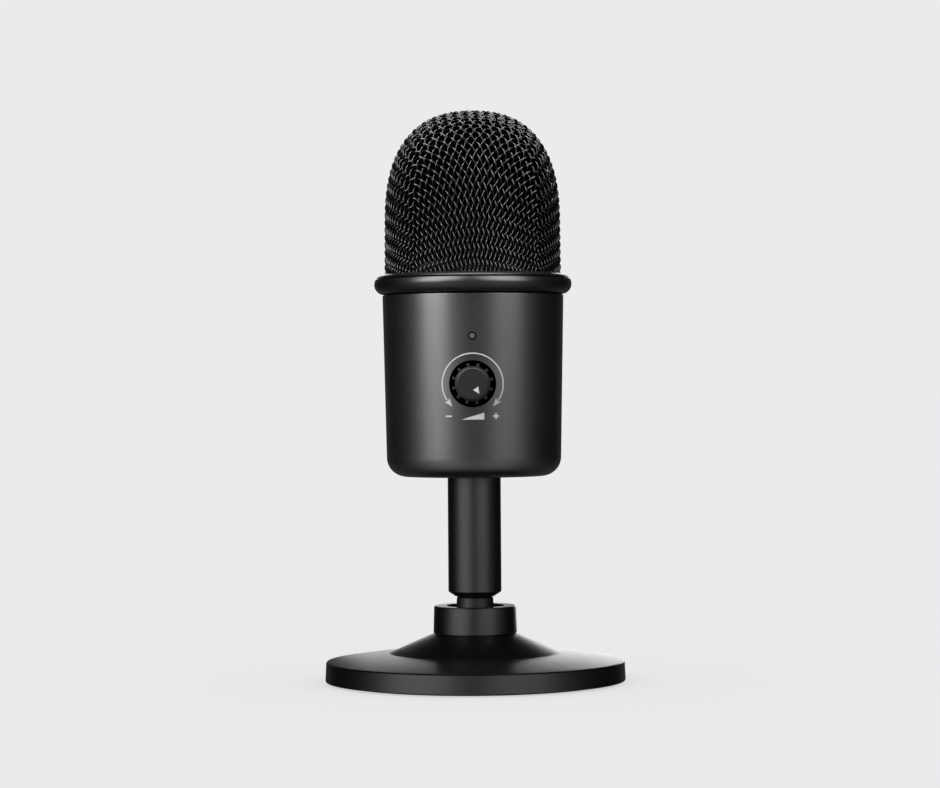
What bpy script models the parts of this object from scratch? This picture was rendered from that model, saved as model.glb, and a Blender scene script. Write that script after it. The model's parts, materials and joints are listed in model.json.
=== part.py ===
"""Desktop microphone: woven dome head, round body with a gain knob, stem, ball joint and weighted base.

Metres, +Z up. The origin lies on the desk under the middle of the base, and the front faces -Y.
"""

from math import acos, asin, atan2, ceil, cos, hypot, pi, radians, sin, sqrt

import bmesh
import bpy
from mathutils import Matrix, Vector

MM = 0.001

# Fits and facets
CLEARANCE = 0.3 * MM
ROUND_STEPS = 40
INNER_STEPS = 24
SMALL_STEPS = 10
HEX_SIDES = 6
EDGE_POINTS = 2
ARC_POINTS = 4
HALF_ROUND_POINTS = 8
SHARP_ANGLE = radians(30)

# Base: foot pad, lower plate, shell and ballast
PAD_THICKNESS = 1.2 * MM
PAD_PROUD = 0.6 * MM
PAD_INSET = 1.6 * MM
PLATE_THICKNESS = 2.2 * MM
BASE_RADIUS = 50.0 * MM
BASE_WALL_HEIGHT = 6.5 * MM
BASE_DRAFT = 0.3 * MM
BASE_WALL = 2.2 * MM
BASE_EDGE = 0.5 * MM
CROWN_RISE = 2.7 * MM
CROWN_BULGE = 0.2 * MM
CREASE_RADIUS = 28.5 * MM
CONE_RISE = 6.35 * MM
CONE_TOP_RADIUS = 14.2 * MM
WEIGHT_INNER_RADIUS = 23.0 * MM
WEIGHT_OUTER_RADIUS = 41.0 * MM
BASE_SCREW_COUNT = 3
BOSS_RADIUS = 3.0 * MM

# Ball joint: stud, seat, spring and collar
BALL_RADIUS = 9.5 * MM
BALL_DEPTH = 8.6 * MM
NECK_RADIUS = 6.05 * MM
NECK_FLARE = 0.2 * MM
NECK_FILLET = 1.5 * MM
NECK_SHOWN = 3.05 * MM
SHANK_RADIUS = 4.0 * MM
SHANK_LENGTH = 11.5 * MM
SEAT_WALL = 0.6 * MM
SEAT_DROP = 2.5 * MM
SEAT_HOLE_RADIUS = 5.5 * MM
SPRING_HEIGHT = 0.8 * MM
SPRING_THICKNESS = 0.4 * MM
SPRING_INNER_RADIUS = 6.0 * MM
SOCKET_WALL = 1.6 * MM
SOCKET_FLOOR = 1.0 * MM
SPIGOT_OVER_BALL = 2.7 * MM
COLLAR_HEIGHT = 9.05 * MM
COLLAR_WALL = 1.6 * MM
COLLAR_DRAFT = 0.25 * MM
COLLAR_EDGE = 0.5 * MM
COLLAR_MOUTH_RADIUS = 9.8 * MM
LIP_BITE = 0.8 * MM

# Stem and its joint with the body
STEM_RADIUS = 8.84 * MM
STEM_LENGTH = 39.75 * MM
STEM_CHAMFER = 1.65 * MM
STEM_EDGE = 0.3 * MM
STUD_RADIUS = 4.0 * MM
STUD_IN_STEM = 14.0 * MM
INSERT_RADIUS = 5.7 * MM
INSERT_FLANGE_RADIUS = 8.8 * MM
INSERT_FLANGE = 1.5 * MM
INSERT_BOSS = 4.6 * MM

# Body shell
BODY_HEIGHT = 60.2 * MM
BODY_TOP_RADIUS = 30.13 * MM
BODY_FOOT_RADIUS = 28.92 * MM
BODY_WALL = 2.2 * MM
BODY_FLOOR = 3.0 * MM
BODY_FILLET = 6.4 * MM
BODY_EDGE = 0.3 * MM
LUG_COUNT = 3
LUG_RADIUS = 3.2 * MM
LUG_LENGTH = 12.0 * MM
LUG_INSET = 2.6 * MM

# Screws, all of one kind
SCREW_RADIUS = 1.0 * MM
SCREW_LENGTH = 6.0 * MM
SCREW_HEAD_RADIUS = 1.9 * MM
SCREW_HEAD = 1.2 * MM
SCREW_RECESS_RADIUS = 1.0 * MM
SCREW_RECESS_DEPTH = 0.6 * MM

# Gain knob and its potentiometer
KNOB_DROP = 29.5 * MM
WELL_RADIUS = 7.87 * MM
WELL_DEPTH = 6.0 * MM
WELL_WALL = 1.7 * MM
WELL_FLOOR = 1.2 * MM
KNOB_LENGTH = 10.8 * MM
KNOB_CAP_RADIUS = 5.1 * MM
KNOB_DRUM_RADIUS = 5.9 * MM
KNOB_CHAMFER = 0.4 * MM
KNOB_ROOF = 3.3 * MM
RIB_COUNT = 12
RIB_RADIUS = 6.9 * MM
RIB_WIDTH = 0.9 * MM
RIB_SHOULDER = 1.1 * MM
RIB_TURN = radians(17)
SHAFT_RADIUS = 3.0 * MM
POT_WIDTH = 11.0 * MM
POT_HEIGHT = 12.0 * MM
POT_DEPTH = 6.8 * MM

# Status light
LED_OVER_KNOB = 15.5 * MM
LENS_RADIUS = 0.95 * MM
LENS_GAP = 0.38 * MM
LENS_FLANGE_RADIUS = 1.7 * MM
LENS_FLANGE = 1.0 * MM
LED_WIDTH = 3.2 * MM
LED_HEIGHT = 2.0 * MM
LED_DEPTH = 1.4 * MM

# Control board, behind the knob
BOARD_WIDTH = 32.0 * MM
BOARD_HEAD_ROOM = 4.0 * MM
BOARD_THICKNESS = 1.6 * MM
BOARD_RISE = 11.4 * MM
BOARD_HOLE_INSET = 4.0 * MM
STANDOFF_RADIUS = 2.6 * MM
CHIP_WIDTH = 8.0 * MM
CHIP_HEIGHT = 1.2 * MM
CAPACITOR_RADIUS = 2.5 * MM
CAPACITOR_LENGTH = 6.0 * MM
CAPACITOR_ASIDE = 9.0 * MM
CONNECTOR_WIDTH = 6.0 * MM
CONNECTOR_HEIGHT = 5.0 * MM
CONNECTOR_DEPTH = 4.0 * MM
CONNECTOR_DROP = 4.0 * MM

# Rear inlet
USB_BOARD_RISE = 7.6 * MM
USB_BOARD_WIDTH = 18.0 * MM
USB_BOARD_DEPTH = 16.5 * MM
USB_BOARD_THICKNESS = 1.6 * MM
USB_HOLE_INSET = 3.0 * MM
USB_POST_RADIUS = 2.6 * MM
SOCKET_WIDTH = 8.94 * MM
SOCKET_HEIGHT = 3.26 * MM
SOCKET_LENGTH = 7.3 * MM
SOCKET_SHEET = 0.3 * MM
SOCKET_INSET = 0.6 * MM
TONGUE_WIDTH = 6.7 * MM
TONGUE_THICKNESS = 0.7 * MM
TONGUE_SHORT = 1.2 * MM
LINK_WIDTH = 8.0 * MM
LINK_THICKNESS = 0.6 * MM
LINK_REACH = 12.0 * MM
LINK_UNDER_CHIP = 4.9 * MM
LINK_STEPS = 12

# Head: deck, ring, grille and foam
DECK_DROP = 1.8 * MM
DECK_THICKNESS = 2.0 * MM
TRIM_HEIGHT = 6.7 * MM
TRIM_INSET = 0.61 * MM
TRIM_SEAT = 3.9 * MM
BAND_THICKNESS = 0.8 * MM
BAND_HEIGHT = 10.0 * MM
GRILLE_INSET = 0.66 * MM
GRILLE_TAPER = 0.17 * MM
GRILLE_STRAIGHT = 19.0 * MM
GRILLE_CROWN = 38.0 * MM
GRILLE_POWER = 2.5
DOME_POINTS = 40
GRILLE_WIRE = 0.9 * MM
GRILLE_CELLS = 16
GRILLE_TURN = radians(4)
FOAM_THICKNESS = 3.0 * MM
FOAM_POINTS = 10

# Capsule and what holds it
CAPSULE_RISE = 31.0 * MM
CAPSULE_RADIUS = 8.0 * MM
CAPSULE_LENGTH = 7.5 * MM
CAPSULE_EDGE = 0.6 * MM
MOUNT_WALL = 2.1 * MM
MOUNT_LENGTH = 6.0 * MM
CRADLE_WALL = 2.2 * MM
CRADLE_LENGTH = 5.0 * MM
POST_WIDTH = 10.0 * MM
POST_THICKNESS = 3.0 * MM
POST_FOOT_WIDTH = 26.0 * MM
POST_FOOT_DEPTH = 12.0 * MM
POST_FOOT_HEIGHT = 2.4 * MM
POST_SCREW_INSET = 3.5 * MM
LEAD_RADIUS = 0.8 * MM
LEAD_SPACING = 3.5 * MM
LEAD_FINE_STEPS = 20
LEAD_RESOLUTION = 2
LEAD_BEHIND = 10.5 * MM
LEAD_HOLE_RADIUS = 2.0 * MM

# Levels, stacked up from the desk
WALL_FOOT = PAD_PROUD
RIM_LEVEL = WALL_FOOT + BASE_WALL_HEIGHT
CREASE_LEVEL = RIM_LEVEL + CROWN_RISE
LAND_LEVEL = CREASE_LEVEL + CONE_RISE
PLATE_FOOT = PAD_THICKNESS + CLEARANCE
PLATE_TOP = PLATE_FOOT + PLATE_THICKNESS
SOCKET_FOOT = PLATE_TOP + CLEARANCE
SPRING_FOOT = SOCKET_FOOT + SOCKET_FLOOR + CLEARANCE
SEAT_FOOT = SPRING_FOOT + SPRING_HEIGHT + CLEARANCE
COLLAR_FOOT = LAND_LEVEL + CLEARANCE
COLLAR_TOP = COLLAR_FOOT + COLLAR_HEIGHT
BALL_LEVEL = COLLAR_TOP - BALL_DEPTH
SPIGOT_TOP = BALL_LEVEL + SPIGOT_OVER_BALL
STEM_FOOT = COLLAR_TOP + NECK_SHOWN
STEM_TOP = STEM_FOOT + STEM_LENGTH
BODY_FOOT = STEM_TOP + CLEARANCE
BODY_TOP = BODY_FOOT + BODY_HEIGHT
FLOOR_TOP = BODY_FOOT + BODY_FLOOR
DECK_TOP = BODY_TOP - DECK_DROP
DECK_FOOT = DECK_TOP - DECK_THICKNESS
LUG_TOP = DECK_FOOT - CLEARANCE
RING_FOOT = BODY_TOP + CLEARANCE
GRILLE_FOOT = RING_FOOT + TRIM_SEAT + CLEARANCE
KNOB_LEVEL = BODY_TOP - KNOB_DROP
LED_LEVEL = KNOB_LEVEL + LED_OVER_KNOB
BOARD_FOOT = BODY_FOOT + BOARD_RISE
BOARD_TOP = DECK_FOOT - BOARD_HEAD_ROOM
USB_BOARD_TOP = BODY_FOOT + USB_BOARD_RISE + USB_BOARD_THICKNESS
SOCKET_LEVEL = USB_BOARD_TOP + CLEARANCE + SOCKET_HEIGHT / 2
CAPSULE_LEVEL = DECK_TOP + CAPSULE_RISE

# Radii that follow from the fits
TRIM_MIDDLE_RADIUS = BODY_TOP_RADIUS - TRIM_INSET
GRILLE_RADIUS = BODY_TOP_RADIUS - GRILLE_INSET
GRILLE_SHOULDER_RADIUS = GRILLE_RADIUS - GRILLE_TAPER
BASE_INNER_RADIUS = BASE_RADIUS - BASE_WALL
BALL_ROOM = BALL_RADIUS + CLEARANCE
SEAT_RADIUS = BALL_RADIUS + SEAT_WALL
SOCKET_BORE = SEAT_RADIUS + CLEARANCE
SPIGOT_RADIUS = SOCKET_BORE + SOCKET_WALL
COLLAR_BORE = SPIGOT_RADIUS + CLEARANCE
LIP_RADIUS = BALL_RADIUS - LIP_BITE
BOSS_RING = (SPIGOT_RADIUS + WEIGHT_INNER_RADIUS) / 2
SCREW_HOLE = SCREW_RADIUS + CLEARANCE
BAND_RADIUS = GRILLE_RADIUS - GRILLE_WIRE - CLEARANCE
FOAM_RADIUS = BAND_RADIUS - BAND_THICKNESS - CLEARANCE
MOUNT_BORE = CAPSULE_RADIUS + CLEARANCE
CRADLE_BORE = MOUNT_BORE + MOUNT_WALL + CLEARANCE


def body_radius(level):
    """Outer radius of the tapered body at a height above the desk."""
    share = (level - BODY_FOOT) / BODY_HEIGHT
    return BODY_FOOT_RADIUS + (BODY_TOP_RADIUS - BODY_FOOT_RADIUS) * share


# Depths behind the front of the body, as y values
WELL_FLOOR_Y = -body_radius(KNOB_LEVEL) + WELL_DEPTH
POT_FRONT_Y = WELL_FLOOR_Y + WELL_FLOOR + CLEARANCE
BOARD_FRONT_Y = POT_FRONT_Y + POT_DEPTH + CLEARANCE
BOARD_BACK_Y = BOARD_FRONT_Y + BOARD_THICKNESS
LUG_RING = body_radius(LUG_TOP) - BODY_WALL - LUG_INSET
USB_ROOM = body_radius(USB_BOARD_TOP) - BODY_WALL - CLEARANCE
USB_BOARD_BACK_Y = sqrt(USB_ROOM ** 2 - (USB_BOARD_WIDTH / 2) ** 2) - CLEARANCE
USB_BOARD_FRONT_Y = USB_BOARD_BACK_Y - USB_BOARD_DEPTH
SOCKET_MOUTH_Y = body_radius(SOCKET_LEVEL) - SOCKET_INSET

FACING_FRONT = (pi / 2, 0.0, 0.0)
FACING_BACK = (-pi / 2, 0.0, 0.0)
UPSIDE_DOWN = (pi, 0.0, 0.0)

# Finish: base colour, roughness, metallic
FINISHES = {
    "body_paint": ((0.030, 0.030, 0.031), 0.42, 0.25),
    "base_paint": ((0.036, 0.036, 0.037), 0.40, 0.25),
    "trim_paint": ((0.026, 0.026, 0.027), 0.35, 0.20),
    "grille_wire": ((0.060, 0.060, 0.062), 0.45, 0.60),
    "black_steel": ((0.025, 0.025, 0.026), 0.30, 0.80),
    "knob_plastic": ((0.028, 0.028, 0.029), 0.50, 0.0),
    "lens_plastic": ((0.300, 0.300, 0.310), 0.25, 0.0),
    "foam": ((0.012, 0.012, 0.012), 0.95, 0.0),
    "rubber": ((0.020, 0.020, 0.020), 0.80, 0.0),
    "nylon": ((0.720, 0.710, 0.680), 0.50, 0.0),
    "black_plastic": ((0.024, 0.024, 0.025), 0.55, 0.0),
    "steel": ((0.560, 0.570, 0.580), 0.35, 1.0),
    "brass": ((0.780, 0.570, 0.280), 0.35, 1.0),
    "bare_aluminium": ((0.760, 0.770, 0.780), 0.35, 1.0),
    "cast_iron": ((0.160, 0.160, 0.165), 0.65, 0.9),
    "board_green": ((0.015, 0.120, 0.050), 0.35, 0.0),
    "cable_grey": ((0.260, 0.260, 0.270), 0.60, 0.0),
}


def clear_scene():
    for item in list(bpy.data.objects):
        bpy.data.objects.remove(item)
    for group in list(bpy.data.collections):
        bpy.data.collections.remove(group)


def new_collection(name):
    group = bpy.data.collections.new(name)
    bpy.context.scene.collection.children.link(group)
    return group


def finish_material(name):
    """The shared material of one finish."""
    found = bpy.data.materials.get(name)
    if found:
        return found
    colour, roughness, metallic = FINISHES[name]
    made = bpy.data.materials.new(name)
    made.use_nodes = True
    shader = made.node_tree.nodes["Principled BSDF"]
    shader.inputs["Base Color"].default_value = (*colour, 1.0)
    shader.inputs["Roughness"].default_value = roughness
    shader.inputs["Metallic"].default_value = metallic
    return made


def add_part(name, mesh, finish):
    item = bpy.data.objects.new(name, mesh)
    bpy.data.collections["desktop_microphone"].objects.link(item)
    mesh.materials.append(finish_material(finish))
    return item


def add_tool(name, mesh):
    """A cutter or a joining shape, left out of the finished part."""
    item = bpy.data.objects.new(name, mesh)
    bpy.data.collections["cutters"].objects.link(item)
    item.hide_render = True
    item.display_type = 'WIRE'
    return item


def add_pivot(name, parent, place):
    """An empty on a joint's axis."""
    pivot = bpy.data.objects.new(name, None)
    bpy.data.collections["desktop_microphone"].objects.link(pivot)
    return seat(pivot, parent, place)


def seat(item, parent, place, turn=(0.0, 0.0, 0.0)):
    """Put an item at a world place under a parent whose own frame is only shifted."""
    item.parent = parent
    item.rotation_euler = turn
    item.location = Vector(place)
    above = parent
    while above:
        item.location -= above.location
        above = above.parent
    return item


def combine(item, tool, operation):
    change = item.modifiers.new(tool.name, 'BOOLEAN')
    change.operation = operation
    change.solver = 'EXACT'
    change.object = tool


def join(item, name, shapes):
    combine(item, add_tool(name, mesh_of(name, shapes)), 'UNION')


def cut(item, name, shapes):
    combine(item, add_tool(name, mesh_of(name, shapes)), 'DIFFERENCE')


def arc(centre_x, centre_z, radius, start, end, points=ARC_POINTS):
    """Points of a profile arc, angles from +X towards +Z."""
    turns = [start + (end - start) * step / points for step in range(points + 1)]
    return [(centre_x + radius * cos(turn), centre_z + radius * sin(turn)) for turn in turns]


def turned_mesh(name, profile, ring):
    mesh = bpy.data.meshes.new(name)
    count = len(profile)
    edges = [(index, index + 1) for index in range(count - 1)]
    if ring:
        edges.append((count - 1, 0))
    mesh.from_pydata([(x, 0.0, z) for x, z in profile], edges, [])
    return mesh


def turn_about_axis(item, steps):
    screw = item.modifiers.new("Turn", 'SCREW')
    screw.axis = 'Z'
    screw.angle = 2 * pi
    screw.steps = steps
    screw.render_steps = steps
    screw.use_merge_vertices = True
    screw.merge_threshold = 0.01 * MM


def turned(name, profile, finish, ring=False, steps=ROUND_STEPS):
    """A turned piece. A ring's profile is a loop, and any other starts and ends on the axis."""
    item = add_part(name, turned_mesh(name, profile, ring), finish)
    turn_about_axis(item, steps)
    return item


def mesh_of(name, shapes):
    """One mesh of closed primitive shapes, each a function that adds itself to a bmesh."""
    work = bmesh.new()
    for shape in shapes:
        shape(work)
    mesh = bpy.data.meshes.new(name)
    work.to_mesh(mesh)
    work.free()
    return mesh


def rod(start, end, radius, steps=SMALL_STEPS):
    start = Vector(start)
    along = Vector(end) - start
    turn = Vector((0, 0, 1)).rotation_difference(along).to_matrix().to_4x4()
    place = Matrix.Translation(start + along / 2) @ turn

    def shape(work):
        bmesh.ops.create_cone(work, cap_ends=True, segments=steps, radius1=radius, radius2=radius,
                              depth=along.length, matrix=place)
    return shape


def block(low, high):
    low = Vector(low)
    high = Vector(high)
    size = Matrix.Diagonal((*(high - low), 1.0))
    place = Matrix.Translation((low + high) / 2) @ size

    def shape(work):
        bmesh.ops.create_cube(work, size=1.0, matrix=place)
    return shape


def swung(shape, turn):
    """A shape turned about Z."""
    def moved(work):
        before = len(work.verts)
        shape(work)
        work.verts.ensure_lookup_table()
        about_axis = Matrix.Rotation(turn, 3, 'Z')
        bmesh.ops.rotate(work, verts=work.verts[before:], cent=(0, 0, 0), matrix=about_axis)
    return moved


def solid(name, shape, finish, parent):
    """A piece made of one shape that is drawn in its place."""
    return seat(add_part(name, mesh_of(name, [shape]), finish), parent, (0, 0, 0))


def spaced_round(count, ring):
    """Places spaced evenly round a circle, the first one at the back."""
    turns = [pi / 2 + 2 * pi * step / count for step in range(count)]
    return [(ring * cos(turn), ring * sin(turn)) for turn in turns]


def prism_mesh(name, outline, thickness):
    """A flat outline extruded to a closed mesh, centred on its own plane."""
    curve = bpy.data.curves.new(name, 'CURVE')
    curve.dimensions = '2D'
    curve.fill_mode = 'BOTH'
    curve.extrude = thickness / 2
    spline = curve.splines.new('POLY')
    spline.points.add(len(outline) - 1)
    for point, (x, y) in zip(spline.points, outline):
        point.co = (x, y, 0.0, 1.0)
    spline.use_cyclic_u = True
    return mesh_from_curve(name, curve)


def mesh_from_curve(name, curve):
    holder = bpy.data.objects.new(name, curve)
    bpy.context.scene.collection.objects.link(holder)
    depsgraph = bpy.context.evaluated_depsgraph_get()
    mesh = bpy.data.meshes.new_from_object(holder.evaluated_get(depsgraph))
    bpy.data.objects.remove(holder)
    work = bmesh.new()
    work.from_mesh(mesh)
    bmesh.ops.remove_doubles(work, verts=work.verts, dist=0.001 * MM)
    bmesh.ops.recalc_face_normals(work, faces=work.faces)
    work.to_mesh(mesh)
    work.free()
    mesh.name = name
    return mesh


def stadium(width, height):
    """A slot's outline with half-round ends."""
    radius = height / 2
    middle = width / 2 - radius
    right = arc(middle, 0.0, radius, -pi / 2, pi / 2)
    left = arc(-middle, 0.0, radius, pi / 2, 3 * pi / 2)
    return right + left


def apply_shapes():
    """Settle every modifier and shade round faces smooth up to their sharp edges."""
    bpy.context.view_layer.update()
    depsgraph = bpy.context.evaluated_depsgraph_get()
    for item in bpy.data.collections["desktop_microphone"].objects:
        if item.type != 'MESH':
            continue
        if item.modifiers:
            settled = bpy.data.meshes.new_from_object(item.evaluated_get(depsgraph))
            settled.name = item.name
            item.modifiers.clear()
            item.data = settled
        item.data.shade_smooth()
        item.data.set_sharp_from_angle(angle=SHARP_ANGLE)


def screw_mesh():
    """Pan head screw with a hexagon recess, head upwards, the underside of its head at the origin."""
    half_head = SCREW_HEAD / 2
    profile = [(0.0, SCREW_HEAD), (SCREW_HEAD_RADIUS - half_head, SCREW_HEAD),
               (SCREW_HEAD_RADIUS, half_head), (SCREW_HEAD_RADIUS, 0.0), (SCREW_RADIUS, 0.0),
               (SCREW_RADIUS, SCREW_RADIUS - SCREW_LENGTH), (0.0, -SCREW_LENGTH)]
    item = bpy.data.objects.new("screw", turned_mesh("screw", profile, False))
    bpy.context.scene.collection.objects.link(item)
    turn_about_axis(item, SMALL_STEPS)
    recess_floor = (0, 0, SCREW_HEAD - SCREW_RECESS_DEPTH)
    cut(item, "screw_recess", [rod(recess_floor, (0, 0, 2 * SCREW_HEAD), SCREW_RECESS_RADIUS, HEX_SIDES)])
    bpy.context.view_layer.update()
    depsgraph = bpy.context.evaluated_depsgraph_get()
    mesh = bpy.data.meshes.new_from_object(item.evaluated_get(depsgraph))
    mesh.name = "screw"
    mesh.materials.append(finish_material("steel"))
    bpy.data.objects.remove(item)
    return mesh


def add_screw(name, mesh, parent, place, turn=(0.0, 0.0, 0.0)):
    item = bpy.data.objects.new(name, mesh)
    bpy.data.collections["desktop_microphone"].objects.link(item)
    return seat(item, parent, place, turn)


def cone_level(radius):
    """Height of the base's cone at a radius."""
    slope = CONE_RISE / (CREASE_RADIUS - CONE_TOP_RADIUS)
    return LAND_LEVEL - slope * (radius - CONE_TOP_RADIUS)


def crown_level(radius):
    """Height of the straight line from the crease to the rim at a radius."""
    share = (radius - CREASE_RADIUS) / (BASE_RADIUS - BASE_DRAFT - CREASE_RADIUS)
    return CREASE_LEVEL - CROWN_RISE * share


def make_base_shell(root):
    rim = BASE_RADIUS - BASE_DRAFT
    middle = (CREASE_RADIUS + rim) / 2
    top_edge = arc(rim - BASE_EDGE, RIM_LEVEL - BASE_EDGE, BASE_EDGE, pi / 2, 0.0, EDGE_POINTS)
    foot_edge = arc(BASE_RADIUS - BASE_EDGE, WALL_FOOT + BASE_EDGE, BASE_EDGE, 0.0, -pi / 2, EDGE_POINTS)
    under_rim = crown_level(BASE_INNER_RADIUS) - BASE_WALL
    under_land = LAND_LEVEL - BASE_WALL
    profile = [(0.0, SOCKET_FOOT + SOCKET_FLOOR), (SOCKET_BORE, SOCKET_FOOT + SOCKET_FLOOR),
               (SOCKET_BORE, SPIGOT_TOP), (SPIGOT_RADIUS, SPIGOT_TOP), (SPIGOT_RADIUS, LAND_LEVEL),
               (CONE_TOP_RADIUS, LAND_LEVEL), (CREASE_RADIUS, CREASE_LEVEL),
               (middle, crown_level(middle) + CROWN_BULGE)]
    profile += top_edge + foot_edge
    profile += [(BASE_INNER_RADIUS, WALL_FOOT), (BASE_INNER_RADIUS, under_rim),
                (CREASE_RADIUS, CREASE_LEVEL - BASE_WALL), (CONE_TOP_RADIUS, under_land),
                (SPIGOT_RADIUS, under_land), (SPIGOT_RADIUS, SOCKET_FOOT), (0.0, SOCKET_FOOT)]
    item = seat(turned("base_shell", profile, "base_paint"), root, (0, 0, 0))
    boss_top = cone_level(BOSS_RING + BOSS_RADIUS) - CLEARANCE
    spots = spaced_round(BASE_SCREW_COUNT, BOSS_RING)
    join(item, "base_bosses", [rod((x, y, SOCKET_FOOT), (x, y, boss_top), BOSS_RADIUS) for x, y in spots])
    hole_top = PLATE_FOOT + SCREW_HEAD + SCREW_LENGTH + CLEARANCE
    cut(item, "base_boss_holes", [rod((x, y, 0.0), (x, y, hole_top), SCREW_HOLE) for x, y in spots])


def make_base_weight(root):
    foot = SOCKET_FOOT
    drop = BASE_WALL + CLEARANCE
    outer_top = crown_level(WEIGHT_OUTER_RADIUS) - drop
    inner_top = CREASE_LEVEL - drop
    profile = [(WEIGHT_INNER_RADIUS, inner_top), (CREASE_RADIUS, inner_top),
               (WEIGHT_OUTER_RADIUS, outer_top), (WEIGHT_OUTER_RADIUS, foot), (WEIGHT_INNER_RADIUS, foot)]
    seat(turned("base_weight", profile, "cast_iron", ring=True, steps=INNER_STEPS), root, (0, 0, 0))


def make_base_plate(root, screw):
    edge = BASE_INNER_RADIUS - CLEARANCE
    profile = [(0.0, PLATE_TOP), (edge, PLATE_TOP), (edge, PLATE_FOOT), (0.0, PLATE_FOOT)]
    item = seat(turned("base_plate", profile, "black_plastic", steps=INNER_STEPS), root, (0, 0, 0))
    spots = spaced_round(BASE_SCREW_COUNT, BOSS_RING)
    head_room = PLATE_FOOT + SCREW_HEAD + CLEARANCE
    head_hole = SCREW_HEAD_RADIUS + CLEARANCE
    cut(item, "plate_holes", [rod((x, y, 0.0), (x, y, SOCKET_FOOT), SCREW_HOLE) for x, y in spots])
    cut(item, "plate_sinks", [rod((x, y, 0.0), (x, y, head_room), head_hole) for x, y in spots])
    for number, (x, y) in enumerate(spots, 1):
        add_screw(f"base_screw_{number}", screw, root, (x, y, PLATE_FOOT + SCREW_HEAD), UPSIDE_DOWN)


def make_foot_pad(root):
    edge = BASE_INNER_RADIUS - PAD_INSET
    profile = [(0.0, PAD_THICKNESS), (edge, PAD_THICKNESS), (edge, 0.0), (0.0, 0.0)]
    seat(turned("foot_pad", profile, "rubber"), root, (0, 0, 0))


def make_collar(root):
    foot_radius = COLLAR_BORE + COLLAR_WALL
    top_radius = foot_radius - COLLAR_DRAFT
    shoulder = SPIGOT_TOP + CLEARANCE
    lip_turn = acos(LIP_RADIUS / BALL_ROOM)
    shoulder_turn = asin((shoulder - BALL_LEVEL) / BALL_ROOM)
    profile = arc(top_radius - COLLAR_EDGE, COLLAR_TOP - COLLAR_EDGE, COLLAR_EDGE, pi / 2, 0.0, EDGE_POINTS)
    profile += [(foot_radius, COLLAR_FOOT), (COLLAR_BORE, COLLAR_FOOT), (COLLAR_BORE, shoulder)]
    profile += arc(0.0, BALL_LEVEL, BALL_ROOM, shoulder_turn, lip_turn, EDGE_POINTS)
    profile += [(COLLAR_MOUTH_RADIUS, COLLAR_TOP)]
    seat(turned("collar", profile, "base_paint", ring=True), root, (0, 0, 0))


def make_ball_seat(pivot):
    """Nylon cup that holds the ball from below. Heights are measured from the ball's centre."""
    top = -SEAT_DROP
    foot = SEAT_FOOT - BALL_LEVEL
    rim_turn = asin(top / BALL_ROOM)
    hole_turn = -acos(SEAT_HOLE_RADIUS / BALL_ROOM)
    profile = [(SEAT_RADIUS, top), (SEAT_RADIUS, foot), (SEAT_HOLE_RADIUS, foot)]
    profile += arc(0.0, 0.0, BALL_ROOM, hole_turn, rim_turn)
    seat(turned("ball_seat", profile, "nylon", ring=True, steps=INNER_STEPS), pivot, (0, 0, BALL_LEVEL))


def make_seat_spring(root):
    outer = SOCKET_BORE - CLEARANCE
    top = SPRING_FOOT + SPRING_HEIGHT
    profile = [(SPRING_INNER_RADIUS, top), (outer, SPRING_FOOT + SPRING_THICKNESS),
               (outer, SPRING_FOOT), (SPRING_INNER_RADIUS, top - SPRING_THICKNESS)]
    seat(turned("seat_spring", profile, "steel", ring=True, steps=INNER_STEPS), root, (0, 0, 0))


def make_ball_stud(pivot):
    """Ball, flared neck and shank in one turned piece. Heights are measured from the ball's centre."""
    neck_top = STEM_FOOT - CLEARANCE - BALL_LEVEL
    shank_top = neck_top + CLEARANCE + SHANK_LENGTH
    neck_foot = NECK_RADIUS + NECK_FLARE
    fillet_x = neck_foot + NECK_FILLET
    fillet_z = sqrt((BALL_RADIUS + NECK_FILLET) ** 2 - fillet_x ** 2)
    meet = atan2(fillet_z, fillet_x)
    profile = [(0.0, shank_top), (SHANK_RADIUS, shank_top), (SHANK_RADIUS, neck_top),
               (NECK_RADIUS, neck_top)]
    profile += arc(fillet_x, fillet_z, NECK_FILLET, pi, pi + meet)
    profile += arc(0.0, 0.0, BALL_RADIUS, meet, -pi / 2, HALF_ROUND_POINTS)[1:-1]
    profile += [(0.0, -BALL_RADIUS)]
    seat(turned("ball_stud", profile, "black_steel", steps=INNER_STEPS), pivot, (0, 0, BALL_LEVEL))


def make_stem(pivot):
    shank_bore = SHANK_RADIUS + CLEARANCE
    stud_bore = STUD_RADIUS + CLEARANCE
    change = STEM_TOP - STUD_IN_STEM - CLEARANCE
    foot_radius = NECK_RADIUS + CLEARANCE
    profile = [(stud_bore, STEM_TOP), (STEM_RADIUS - STEM_EDGE, STEM_TOP),
               (STEM_RADIUS, STEM_TOP - STEM_EDGE), (STEM_RADIUS, STEM_FOOT + STEM_CHAMFER),
               (foot_radius, STEM_FOOT), (shank_bore, STEM_FOOT),
               (shank_bore, change - CLEARANCE), (stud_bore, change)]
    seat(turned("stem", profile, "body_paint", ring=True), pivot, (0, 0, 0))


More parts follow.
